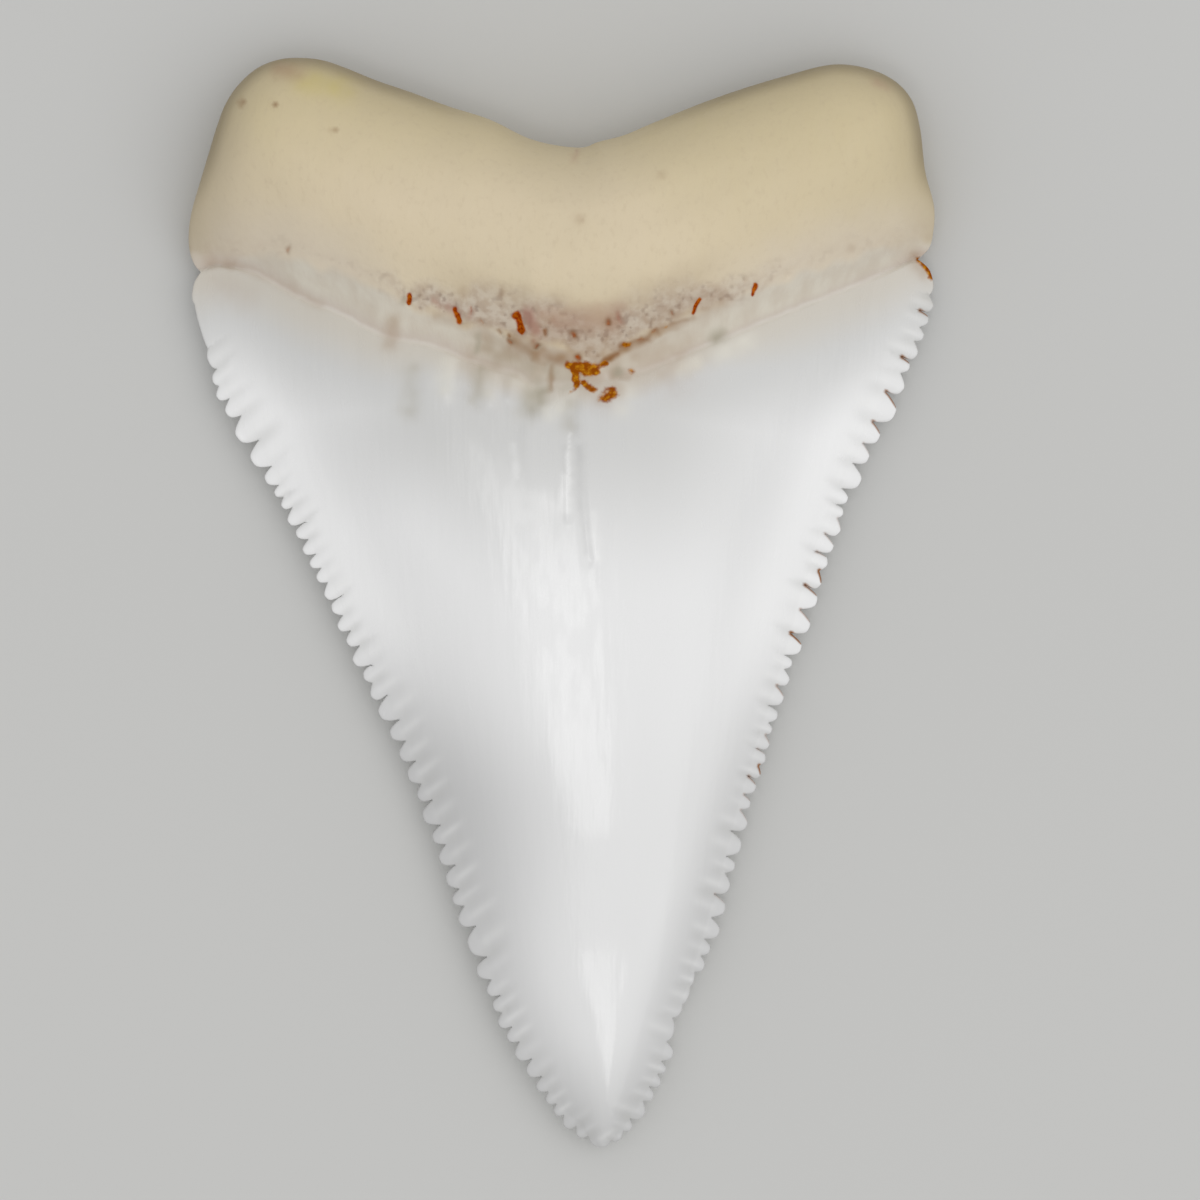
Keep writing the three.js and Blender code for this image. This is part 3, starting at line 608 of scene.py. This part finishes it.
# Shades of the crown, in millimetres: out from the serrations' feet, aside from the middle, below the neck,
# along y, or down from y = 0 for the lower crown. An edge's inner pairs are values above and at the tip
NEAR_TIP = (9, 20)
# The edge shade is painted shade along the lower crown's edges, wider on the left, where the flanks turn
# from the light
EDGE_SHADE_STARTS = (-1, 10)
EDGE_SHADES = [((-9, -4), 1, (1, 0.85)), ((-2.5, -3.2), 0.3, (0.6, 0.75))]  # left, right: from, to, strength
LOWER_SHADE = {"starts": (3, 12), "tip": (21, 27), "more_at_tip": 3}
# The flank light is painted light on the upper crown's flanks
FLANK_LIGHT = {"inside": 1.6, "width": 1.6, "starts": (-7, 0)}
# The base shade is painted shade on the crown's base, where it tilts away from the light
BASE_SHADE = {
    "left_start": 3, "right_start": -0.5, "between": (-8, -3), "full": 9, "middle": -1, "aside": (5, 14),
    "below_neck": (1.8, 7),
}
WARM_SHADE = {"middle": 1, "widths": (1.2, 3), "widens": (5, 12)}

# Shades of the root, above the neck or the bone's lower edge, aside from the middle and in from the rim
BAND_END = (-0.3, 0.3)
# The neck shade is painted shadow in the groove just above the enamel's raised edge
NECK_SHADE = {"starts": 0.2, "ends": (1.2, 0.8), "between": (-6, 6)}
PALE_SHADE = {"ends": (0, 3.5), "aside": (5, 11)}
# The pores shade is painted shade where the bone turns down towards the neck
PORES_SHADE = {"starts": (0.5, 2), "ends": (1.6, 3.4), "middle": 1, "aside": (4, 8)}
UPPER_ROOT = {"left_start": 19, "right_start": 14.5, "between": (2, 8), "full": 25}
# The rim and brink shades are painted shade where the root's rounded rim turns away from the light
RIM_SHADE = {"inward": (-0.6, 2.4), "in_middle": 0.35}
BRINK_SHADE = {"inward": (0, 0.9), "in_middle": 0.1, "starts": (19, 23)}
RIM_SIDES = (3, 9)
LEFT_SHADE = (14.5, 18.5)
LABIAL_NECK_LINE = (-0.06, 0.12)
# The labial neck shade is the same painted shadow, just above the labial neck
LABIAL_NECK_SHADE = {"starts": (0, 0.1), "ends": (0.1, 0.9)}


def mark_share(name, x, y):
    patchy = 1 + uneven("mark_strength", x, y)
    x, y = warped(x, y)
    share = np.zeros_like(x)
    for *ends, width, strength in MARKS[name]:
        share = np.maximum(share, strength * stroke(x, y, ends, width))
    return share * patchy


def painted_edge_shade(x, y):
    """1 along the edges of the lower crown, where shade is painted in. The left band is wider."""
    left, right = edge_lines(y)
    near_tip = smoothstep(-y, *NEAR_TIP)
    shades = []
    for out, (start, end, strength) in zip((left - x, x - right), EDGE_SHADES):
        shades.append(smoothstep(out, lerp(*start, near_tip), end) * lerp(*strength, near_tip))
    return smoothstep(-y, *EDGE_SHADE_STARTS) * np.maximum(*shades)


def lower_shade(y):
    """1 in the lower crown and more at its tip."""
    at_tip = smoothstep(-y, *LOWER_SHADE["tip"])
    return smoothstep(-y, *LOWER_SHADE["starts"]) * (1 + LOWER_SHADE["more_at_tip"] * at_tip)


def flank_light(x, y):
    """1 along the flanks of the upper crown, just inside its serrations, where light is painted in."""
    off = crown_feet(x, y) + FLANK_LIGHT["inside"]
    return np.exp(-((off / FLANK_LIGHT["width"]) ** 2)) * smoothstep(y, *FLANK_LIGHT["starts"])


def painted_base_shade(x, y, above):
    """1 in the middle of the crown's base and just below the neck, where shade is painted in."""
    start = lerp(BASE_SHADE["left_start"], BASE_SHADE["right_start"], smoothstep(x, *BASE_SHADE["between"]))
    aside = smoothstep(np.abs(x - BASE_SHADE["middle"]), *BASE_SHADE["aside"])
    middle = smoothstep(y, start, BASE_SHADE["full"]) * (1 - aside)
    return np.maximum(middle, 1 - smoothstep(-above, *BASE_SHADE["below_neck"]))


def warm_shade(x, above):
    """1 at the neck, where the enamel is warmer, in a strip that widens to the sides."""
    widens = smoothstep(np.abs(x - WARM_SHADE["middle"]), *WARM_SHADE["widens"])
    return 1 - smoothstep(-above, 0, lerp(*WARM_SHADE["widths"], widens))


def neck_shares(x, above, bone_above):
    """Shares of the root's shades beside the neck, by name. The line is painted shadow beside the enamel's
    raised edge, and the tone just above the pores is painted shade.
    """
    neck_shadow_end = lerp(*NECK_SHADE["ends"], smoothstep(x, *NECK_SHADE["between"]))
    pale = 1 - smoothstep(bone_above, *PALE_SHADE["ends"])
    shade_over_pores = smoothstep(bone_above, *PORES_SHADE["starts"])
    shade_over_pores *= 1 - smoothstep(bone_above, *PORES_SHADE["ends"])
    shade_over_pores *= 1 - smoothstep(np.abs(x - PORES_SHADE["middle"]), *PORES_SHADE["aside"])
    return {
        "band": 1 - smoothstep(bone_above, *BAND_END),
        "line": 1 - smoothstep(above, NECK_SHADE["starts"], neck_shadow_end),
        "pale": pale * smoothstep(np.abs(x), *PALE_SHADE["aside"]),
        "painted_shade_above_pores": shade_over_pores,
    }


def rim_shares(x, y, rim_distance):
    """Shares of the painted shade along the root's rounded rim and of its darker left end, by name."""
    sides = smoothstep(np.abs(x), *RIM_SIDES)
    rim = (1 - smoothstep(rim_distance, *RIM_SHADE["inward"])) * lerp(RIM_SHADE["in_middle"], 1, sides)
    painted_brink_shade = 1 - smoothstep(rim_distance, *BRINK_SHADE["inward"])
    painted_brink_shade *= lerp(BRINK_SHADE["in_middle"], 1, sides) * smoothstep(y, *BRINK_SHADE["starts"])
    return {"rim": rim, "painted_brink_shade": painted_brink_shade, "left": smoothstep(-x, *LEFT_SHADE)}


def upper_root(x, y):
    start = lerp(UPPER_ROOT["left_start"], UPPER_ROOT["right_start"], smoothstep(x, *UPPER_ROOT["between"]))
    return smoothstep(y, start, UPPER_ROOT["full"])


def masks(x, y, rim_distance):
    """Shares of each kind of surface, and of the painted light and shade, on the lingual face, by name."""
    above = y - curve(LINGUAL_NECK, x) - uneven("lingual_neck", x, y)
    bone_above = y - curve(BONE_EDGE, x) - uneven("bone_edge", x, y)
    root = neck_blend(x, above)
    grooves, ribs = flutes(x, y)
    shares = {
        "enamel": 1 - root,
        "edge": (1 - root) * painted_edge_shade(x, y),
        "lower": (1 - root) * lower_shade(y),
        "painted_flank_light": (1 - root) * flank_light(x, y),
        "painted_crown_base_shade": (1 - root) * painted_base_shade(x, y, above),
        "warm": (1 - root) * warm_shade(x, above),
        "groove": grooves,
        "rib": ribs,
        "notch_stain": notch_stain(x, y),
        "upper_root": upper_root(x, y),
        "porous": porous_share(x, y),
        "pit": pits(x, y),
        "pore": pores(x, y)[1],
    }
    for name, share in (neck_shares(x, above, bone_above) | rim_shares(x, y, rim_distance)).items():
        shares[name] = root * share
    for name in MARKS:
        shares[name] = mark_share(name, x, y)
    return shares


def labial_masks(x, y, rim_distance):
    """Shares of each kind of surface, and of the painted light and shade, on the labial face, by name."""
    above = y - curve(LABIAL_NECK, x) - uneven("labial_neck", x, y)
    shares = {name: np.zeros_like(x) for name in masks(x[:1], y[:1], rim_distance[:1])}
    root = smoothstep(above, *LABIAL_NECK_LINE)
    neck_shadow_end = 1 - smoothstep(above, *LABIAL_NECK_SHADE["ends"])
    shares["enamel"] = 1 - root
    shares["line"] = smoothstep(above, *LABIAL_NECK_SHADE["starts"]) * neck_shadow_end
    shares["groove"], shares["rib"] = flutes(x, y)
    shares["upper_root"] = upper_root(x, y)
    for name, share in rim_shares(x, y, rim_distance).items():
        shares[name] = root * share
    return shares


# Mesh
LATTICE_REACH = (19.5, 28)  # how far the lattice reaches from the middle, past the tooth's box
CROWN_INSETS = (0.02, 0.07, 0.15)  # rows of points beside the outline
RIM_INSETS = (0.01, 0.04, 0.09, 0.16, 0.25)
LEAST_INSET = 0.9  # share of its inset that a row keeps clear of other parts of the outline
LEAST_GAP = 0.5  # share of the lattice's spacing that it keeps clear of the rows
NECK_ZONE = {"below": 0.5, "above_bone": 2.2, "half_width": 17}
EDGE_ZONE = {"inward": 1.3, "top": 17.2}
FOLD_ZONE = {"half_width": 9.5, "bottom": 1.5}
FILL_INSIDE = 1  # the kind of triangulation
SAME_POINT = 1e-7

LOOP = np.concatenate([CROWN_LINE[:-1], RIM[::-1][:-1]])
CLOSED_LOOP = np.concatenate([LOOP, LOOP[:1]])


def lattice(spacing):
    """Points of a triangular lattice over the tooth's box."""
    across, along = LATTICE_REACH
    rows = np.arange(-along, along, spacing * math.sqrt(3) / 2)
    columns = np.arange(-across, across, spacing)
    x, y = np.meshgrid(columns, rows)
    x[1::2] += spacing / 2
    return np.stack([x.ravel(), y.ravel()], 1)


def inside(points):
    x, y = points.T
    result = np.zeros(len(points), bool)
    for (ax, ay), (bx, by) in zip(CLOSED_LOOP, CLOSED_LOOP[1:]):
        if ay != by:
            result ^= ((ay > y) != (by > y)) & (x < ax + (y - ay) / (by - ay) * (bx - ax))
    return result


def inset_rows(line, offsets):
    """Rows of points beside an outline that runs clockwise, where they don't crowd another part of it."""
    step = np.gradient(line, axis=0)
    into = np.stack([step[:, 1], -step[:, 0]], 1) / np.hypot(*step.T)[:, None]
    rows = []
    for side in (-1, 1):
        for offset in offsets:
            points = line + side * offset * into
            points = points[inside(points)]
            rows.append(points[distance_to(points, CLOSED_LOOP) > LEAST_INSET * offset])
    return np.concatenate(rows)


def face_points(zones):
    """Inner points of a face. zones gives (spacing, where) from the finest to the coarsest."""
    kept = [inset_rows(CROWN_LINE, CROWN_INSETS), inset_rows(RIM, RIM_INSETS)]
    finer = []
    for spacing, where in zones:
        points = lattice(spacing)
        chosen = where(*points.T)
        for other in finer:
            chosen &= ~other(*points.T)
        finer.append(where)
        points = points[chosen]
        points = points[inside(points)]
        clear = np.minimum(distance_to(points, CROWN_LINE) - CROWN_INSETS[-1],
                           distance_to(points, RIM) - RIM_INSETS[-1])
        kept.append(points[clear > LEAST_GAP * spacing])
    return np.concatenate(kept)


def near_neck(x, y):
    over_neck = y > curve(LINGUAL_NECK, x) - NECK_ZONE["below"]
    under_bone = y < curve(BONE_EDGE, x) + NECK_ZONE["above_bone"]
    return over_neck & under_bone & (np.abs(x) < NECK_ZONE["half_width"])


def near_edge(x, y):
    return (crown_feet(x, y) > -EDGE_ZONE["inward"]) & (y < EDGE_ZONE["top"])


def near_folds(x, y):
    under_neck = y < curve(LINGUAL_NECK, x)
    return under_neck & (y > FOLD_ZONE["bottom"]) & (np.abs(x) < FOLD_ZONE["half_width"])


def everywhere(x, y):
    return np.ones_like(x, bool)


# Spacing of the lattice in each zone, from the finest to the coarsest
LINGUAL_ZONES = [(0.085, near_neck), (0.12, near_edge), (0.15, near_folds), (0.25, everywhere)]
LABIAL_ZONES = [(0.16, near_edge), (0.36, everywhere)]


def triangles(points):
    """Triangles over the outline's points, which come first, and the inner points."""
    flat = [Vector(point) for point in np.concatenate([LOOP, points]).tolist()]
    made = delaunay_2d_cdt(flat, [], [list(range(len(LOOP)))], FILL_INSIDE, SAME_POINT, True)
    faces, given_points, given_faces = made[2], made[3], made[5]
    source = np.array([given[0] for given in given_points])
    return source[np.array([face for face, outline in zip(faces, given_faces) if outline])]


def add_object(name, data):
    made = bpy.data.objects.new(name, data)
    bpy.context.scene.collection.objects.link(made)
    return made


def add_shares(mesh, shares):
    """Stores the share of each kind of surface, and of the painted light and shade, at each vertex, for the
    material.
    """
    for name in shares[0]:
        layer = mesh.attributes.new(name, "FLOAT", "POINT")
        layer.data.foreach_set("value", np.concatenate([share[name] for share in shares]).astype("f4"))


def mesh_tooth():
    rim_start = len(CROWN_LINE) - 1
    loop_height = np.full(len(LOOP), EDGE_HEIGHT)
    loop_height[rim_start:] = rim_height(LOOP[rim_start:, 1])
    places, heights, faces = [LOOP], [loop_height], []
    shares = [masks(*LOOP.T, np.zeros(len(LOOP)))]
    start = len(LOOP)
    for zones, height, marks, up in ((LINGUAL_ZONES, lingual_height, masks, True),
                                     (LABIAL_ZONES, labial_height, labial_masks, False)):
        points = face_points(zones)
        made = triangles(points)
        made = np.where(made < len(LOOP), made, made - len(LOOP) + start)
        a, b, c = np.concatenate([LOOP, *places[1:], points])[made].transpose(1, 0, 2)
        turns_left = np.cross(b - a, c - a) > 0
        made[turns_left != up] = made[turns_left != up][:, ::-1]
        faces.append(made)
        places.append(points)
        rim_distance = distance_to(points, RIM)
        heights.append(height(*points.T, distance_to(points, CROWN_LINE), rim_distance))
        shares.append(marks(*points.T, rim_distance))
        start += len(points)
    vertices = np.column_stack([np.concatenate(places), np.concatenate(heights)]) * MM
    mesh = bpy.data.meshes.new("tooth_surface")
    mesh.from_pydata(vertices.tolist(), [], np.concatenate(faces).tolist())
    mesh.shade_smooth()
    add_shares(mesh, shares)
    return add_object("tooth_surface", mesh)


# Materials. Colours are as they look on screen, from 0 to 255
MOTTLED = {
    "bone": ((228, 212, 181), (219, 204, 173)), "porous": ((206, 194, 179), (182, 163, 146)),
    # The line's colours are those of the painted shadow beside the enamel's edge
    "band": ((217, 210, 195), (208, 198, 182)), "line": ((206, 194, 183), (196, 184, 172)),
    "enamel": ((243, 243, 243), (237, 237, 237)),
    "rust": ((146, 74, 10), (198, 134, 24)), "rusted_pore": ((158, 60, 8), (190, 100, 16)),
}
BONE_STREAKS = (208, 192, 169)
BONE_GRAIN = (192, 174, 146)
NOTCH_STAIN = (146, 92, 40)
FLOOR = (205, 205, 203)

# Shades that lie over a colour, in their order: name, strength and colour
UPPER_SHADES = [("upper_root", 0.8, (210, 195, 153))]
# Over the bone, the above-pores, rim and brink entries are painted shade
BONE_SHADES = [
    ("yellow", 1, (214, 198, 138)), ("pale", 0.7, (222, 210, 192)), ("painted_shade_above_pores", 0.6, (193, 175, 147)),
    ("left", 0.5, (176, 165, 148)), ("rim", 0.55, (176, 161, 128)), ("painted_brink_shade", 0.7, (140, 125, 96)),
]
# Over the enamel, the flank, rib and light entries are painted light, and the crown base, edge, groove and
# shade entries are painted shade
ENAMEL_SHADES = [
    ("painted_flank_light", 0.8, (253, 253, 253)), ("painted_crown_base_shade", 0.8, (206, 206, 204)), ("lower", 0.12, (188, 188, 186)),
    ("edge", 0.8, (188, 188, 188)), ("warm", 0.85, (210, 203, 190)), ("groove", 0.35, (190, 190, 186)),
    ("rib", 0.3, (246, 246, 244)), ("cream", 0.7, (232, 229, 217)), ("light", 0.5, (250, 250, 249)),
    ("shade", 0.26, (186, 186, 185)),
]
PIT_SHADES = [("pit", 0.5, (140, 116, 102))]
STAINS = [
    ("pink", 0.75, (172, 124, 108)), ("tan", 0.8, (164, 133, 100)), ("olive", 0.75, (164, 157, 136)),
    ("spot", 0.8, (140, 100, 62)), ("seam", 0.85, (138, 90, 40)),
]

# Finish of the surface: the rest of it is noise
BONE_ROUGHNESS = 0.55
ENAMEL_ROUGHNESS = 0.11
SPECULAR = 0.5
RELIEF = 0.02  # mm
FLOOR_ROUGHNESS = 0.9


def linear(*screen):
    """A colour given as it looks on screen, from 0 to 255, in the shader's linear values."""
    shares = [c / 255 for c in screen]
    return [c / 12.92 if c <= 0.04 else ((c + 0.055) / 1.055) ** 2.4 for c in shares] + [1]


class Nodes:
    """Short calls for building one material's node tree."""

    def __init__(self, name):
        self.material = bpy.data.materials.new(name)
        self.material.use_nodes = True
        self.tree = self.material.node_tree
        self.shader = self.tree.nodes["Principled BSDF"]

    def add(self, kind, inputs=(), **settings):
        node = self.tree.nodes.new(kind)
        for key, value in settings.items():
            setattr(node, key, value)
        for key, value in dict(inputs).items():
            self.put(node.inputs[key], value)
        return node

    def put(self, socket, value):
        if isinstance(value, bpy.types.NodeSocket):
            self.tree.links.new(value, socket)
        else:
            socket.default_value = value

    def shade(self, name, value):
        self.put(self.shader.inputs[name], value)

    def share(self, name):
        return self.add("ShaderNodeAttribute", attribute_name=name).outputs["Fac"]

    def mix(self, share, first, second):
        node = self.add("ShaderNodeMix", data_type="RGBA")
        factor, a, b = (node.inputs[place] for place in (0, 6, 7))
        self.put(factor, share)
        self.put(a, first)
        self.put(b, second)
        return node.outputs[2]

    def math(self, operation, *values):
        node = self.add("ShaderNodeMath", operation=operation)
        for socket, value in zip(node.inputs, values):
            self.put(socket, value)
        return node.outputs[0]

    def times(self, first, second):
        return self.math("MULTIPLY", first, second)

    def noise(self, scale, detail=4, roughness=0.5, along=1):
        """Noise whose lumps are about scale millimetres across. A low along makes them long in y."""
        where = self.add("ShaderNodeTexCoord").outputs["Object"]
        place = self.add("ShaderNodeVectorMath", {0: where, 1: (1, along, 1)}, operation="MULTIPLY")
        node = self.add("ShaderNodeTexNoise", {"Vector": place.outputs[0], "Scale": 1 / (scale * MM),
                                               "Detail": detail, "Roughness": roughness})
        return node.outputs["Fac"]

    def ramp(self, value, low, high):
        node = self.add("ShaderNodeMapRange", {"Value": value, "From Min": low, "From Max": high})
        node.interpolation_type = "SMOOTHSTEP"
        return node.outputs["Result"]

    def mottled(self, name, share):
        first, second = MOTTLED[name]
        return self.mix(share, linear(*first), linear(*second))

    def cover(self, colour, share, strength, shade):
        """The colour with a share of another one over it."""
        return self.mix(self.times(share, strength), colour, linear(*shade))

    def cover_all(self, colour, shades):
        for name, strength, shade in shades:
            colour = self.cover(colour, self.share(name), strength, shade)
        return colour


def bone_colour(n):
    colour = n.cover_all(n.mottled("bone", n.noise(6)), UPPER_SHADES)
    colour = n.cover(colour, n.noise(1.2, along=0.4), 0.25, BONE_STREAKS)
    grain = n.ramp(n.noise(0.3, 5, 0.6, along=0.6), 0.5, 0.75)
    return n.cover_all(n.cover(colour, grain, 0.22, BONE_GRAIN), BONE_SHADES)


def root_colour(n):
    """The bone with the smooth band of the neck, the pitted V above it and a painted shadow along the
    enamel's edge.
    """
    band = n.mottled("band", n.ramp(n.noise(0.9, along=0.3), 0.3, 0.7))
    porous = n.mottled("porous", n.ramp(n.noise(0.5), 0.35, 0.65))
    colour = n.mix(n.share("band"), bone_colour(n), band)
    colour = n.mix(n.times(n.share("porous"), 0.85), colour, porous)
    colour = n.mix(n.times(n.share("line"), 0.8), colour, n.mottled("line", n.noise(1)))
    return n.cover_all(colour, PIT_SHADES)


def enamel_colour(n):
    return n.cover_all(n.mottled("enamel", n.noise(5, along=0.3)), ENAMEL_SHADES)


def add_rust(n, colour):
    """Links the colour with its rust, which has no gloss."""
    ragged = n.math("ADD", n.share("rust"), n.times(n.noise(0.15), 0.5))
    rusted, rusted_pores = n.ramp(ragged, 0.5, 1), n.ramp(n.share("pore"), 0.1, 0.5)
    colour = n.mix(rusted, colour, n.mottled("rust", n.ramp(n.noise(0.25), 0.42, 0.72)))
    colour = n.mix(rusted_pores, colour, n.mottled("rusted_pore", n.ramp(n.noise(0.2), 0.4, 0.6)))
    colour = n.mix(n.ramp(n.share("notch_stain"), 0.2, 0.9), colour, linear(*NOTCH_STAIN))
    n.shade("Base Color", colour)
    unrusted = n.math("SUBTRACT", 1, n.math("MAXIMUM", rusted, rusted_pores))
    n.shade("Specular IOR Level", n.times(unrusted, SPECULAR))


def add_roughness(n):
    """Glossy enamel with duller patches, fewer of them in the lower crown, and matt bone."""
    patches = n.times(n.noise(0.8, along=0.4), 0.1)
    dull = n.times(n.ramp(n.noise(0.9, 4, along=0.3), 0.45, 0.62), 0.12)
    dull = n.times(dull, n.math("SUBTRACT", 1, n.share("lower")))
    smooth = n.times(n.share("enamel"), ENAMEL_ROUGHNESS - BONE_ROUGHNESS)
    even = n.math("ADD", smooth, BONE_ROUGHNESS)
    n.shade("Roughness", n.math("ADD", even, n.math("ADD", patches, dull)))


def add_relief(n):
    """Fine streaks along the enamel and a fine grain of the bone."""
    streaks = n.math("ADD", n.noise(0.5, 2, along=0.08), n.noise(1.5, 3, along=0.4))
    streaks = n.times(streaks, n.share("enamel"))
    grain = n.math("ADD", n.noise(0.3, along=0.5), n.times(n.noise(1.5), 2))
    grain = n.times(grain, n.math("SUBTRACT", 1, n.share("enamel")))
    height = n.math("ADD", streaks, grain)
    relief = n.add("ShaderNodeBump", {"Height": height, "Distance": RELIEF * MM, "Strength": 1})
    n.shade("Normal", relief.outputs["Normal"])


def tooth_material():
    n = Nodes("tooth")
    colour = n.mix(n.share("enamel"), root_colour(n), enamel_colour(n))
    add_rust(n, n.cover_all(colour, STAINS))
    add_roughness(n)
    add_relief(n)
    return n.material


def floor_material():
    n = Nodes("floor")
    n.shade("Base Color", linear(*FLOOR))
    n.shade("Roughness", FLOOR_ROUGHNESS)
    return n.material


# Stage, in metres unless it says otherwise
FLOOR_HALF = 1.5
CAMERA = {"lens": 240, "sensor": 36, "place": (1.9, 0.15, 401.5)}  # in millimetres
WORLD_STRENGTH = 0.67
LIGHTS = {
    "key": {"place": (0.35, -0.06, 0.7), "size": (1, 1), "power": 1.7},
    "crest": {"place": (-0.1, -0.128, 0.66), "size": (0.27, 0.115), "power": 0.21},
}


def add_floor():
    mesh = bpy.data.meshes.new("floor")
    corners = [(-1, -1), (1, -1), (1, 1), (-1, 1)]
    mesh.from_pydata([(FLOOR_HALF * x, FLOOR_HALF * y, 0) for x, y in corners], [], [(0, 1, 2, 3)])
    mesh.materials.append(floor_material())
    floor = add_object("floor", mesh)
    floor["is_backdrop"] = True


def add_light(name, place, size, power):
    """A rectangular light that points at the middle of the tooth's face."""
    data = bpy.data.lights.new(name, "AREA")
    data.shape = "RECTANGLE"
    data.size, data.size_y = size
    data.energy = power
    light = add_object(name, data)
    light.location = place
    light.rotation_euler = (-Vector(place)).to_track_quat("-Z", "Y").to_euler()


def add_camera():
    data = bpy.data.cameras.new("camera")
    data.lens = CAMERA["lens"]
    data.sensor_width = CAMERA["sensor"]
    camera = add_object("camera", data)
    camera.location = Vector(CAMERA["place"]) * MM
    bpy.context.scene.camera = camera


def add_world():
    world = bpy.data.worlds.new("studio")
    world.use_nodes = True
    background = world.node_tree.nodes["Background"]
    background.inputs["Color"].default_value = (1, 1, 1, 1)
    background.inputs["Strength"].default_value = WORLD_STRENGTH
    bpy.context.scene.world = world


tooth = mesh_tooth()
tooth.data.materials.append(tooth_material())
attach(tooth, "root")
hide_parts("tooth")

add_floor()
add_camera()
add_world()
for name, light in LIGHTS.items():
    add_light(name, **light)
bpy.context.scene.view_settings.view_transform = "Standard"

{"cad": [list(corner) for corner in cad_box], "visual": [list(corner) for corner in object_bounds()]}
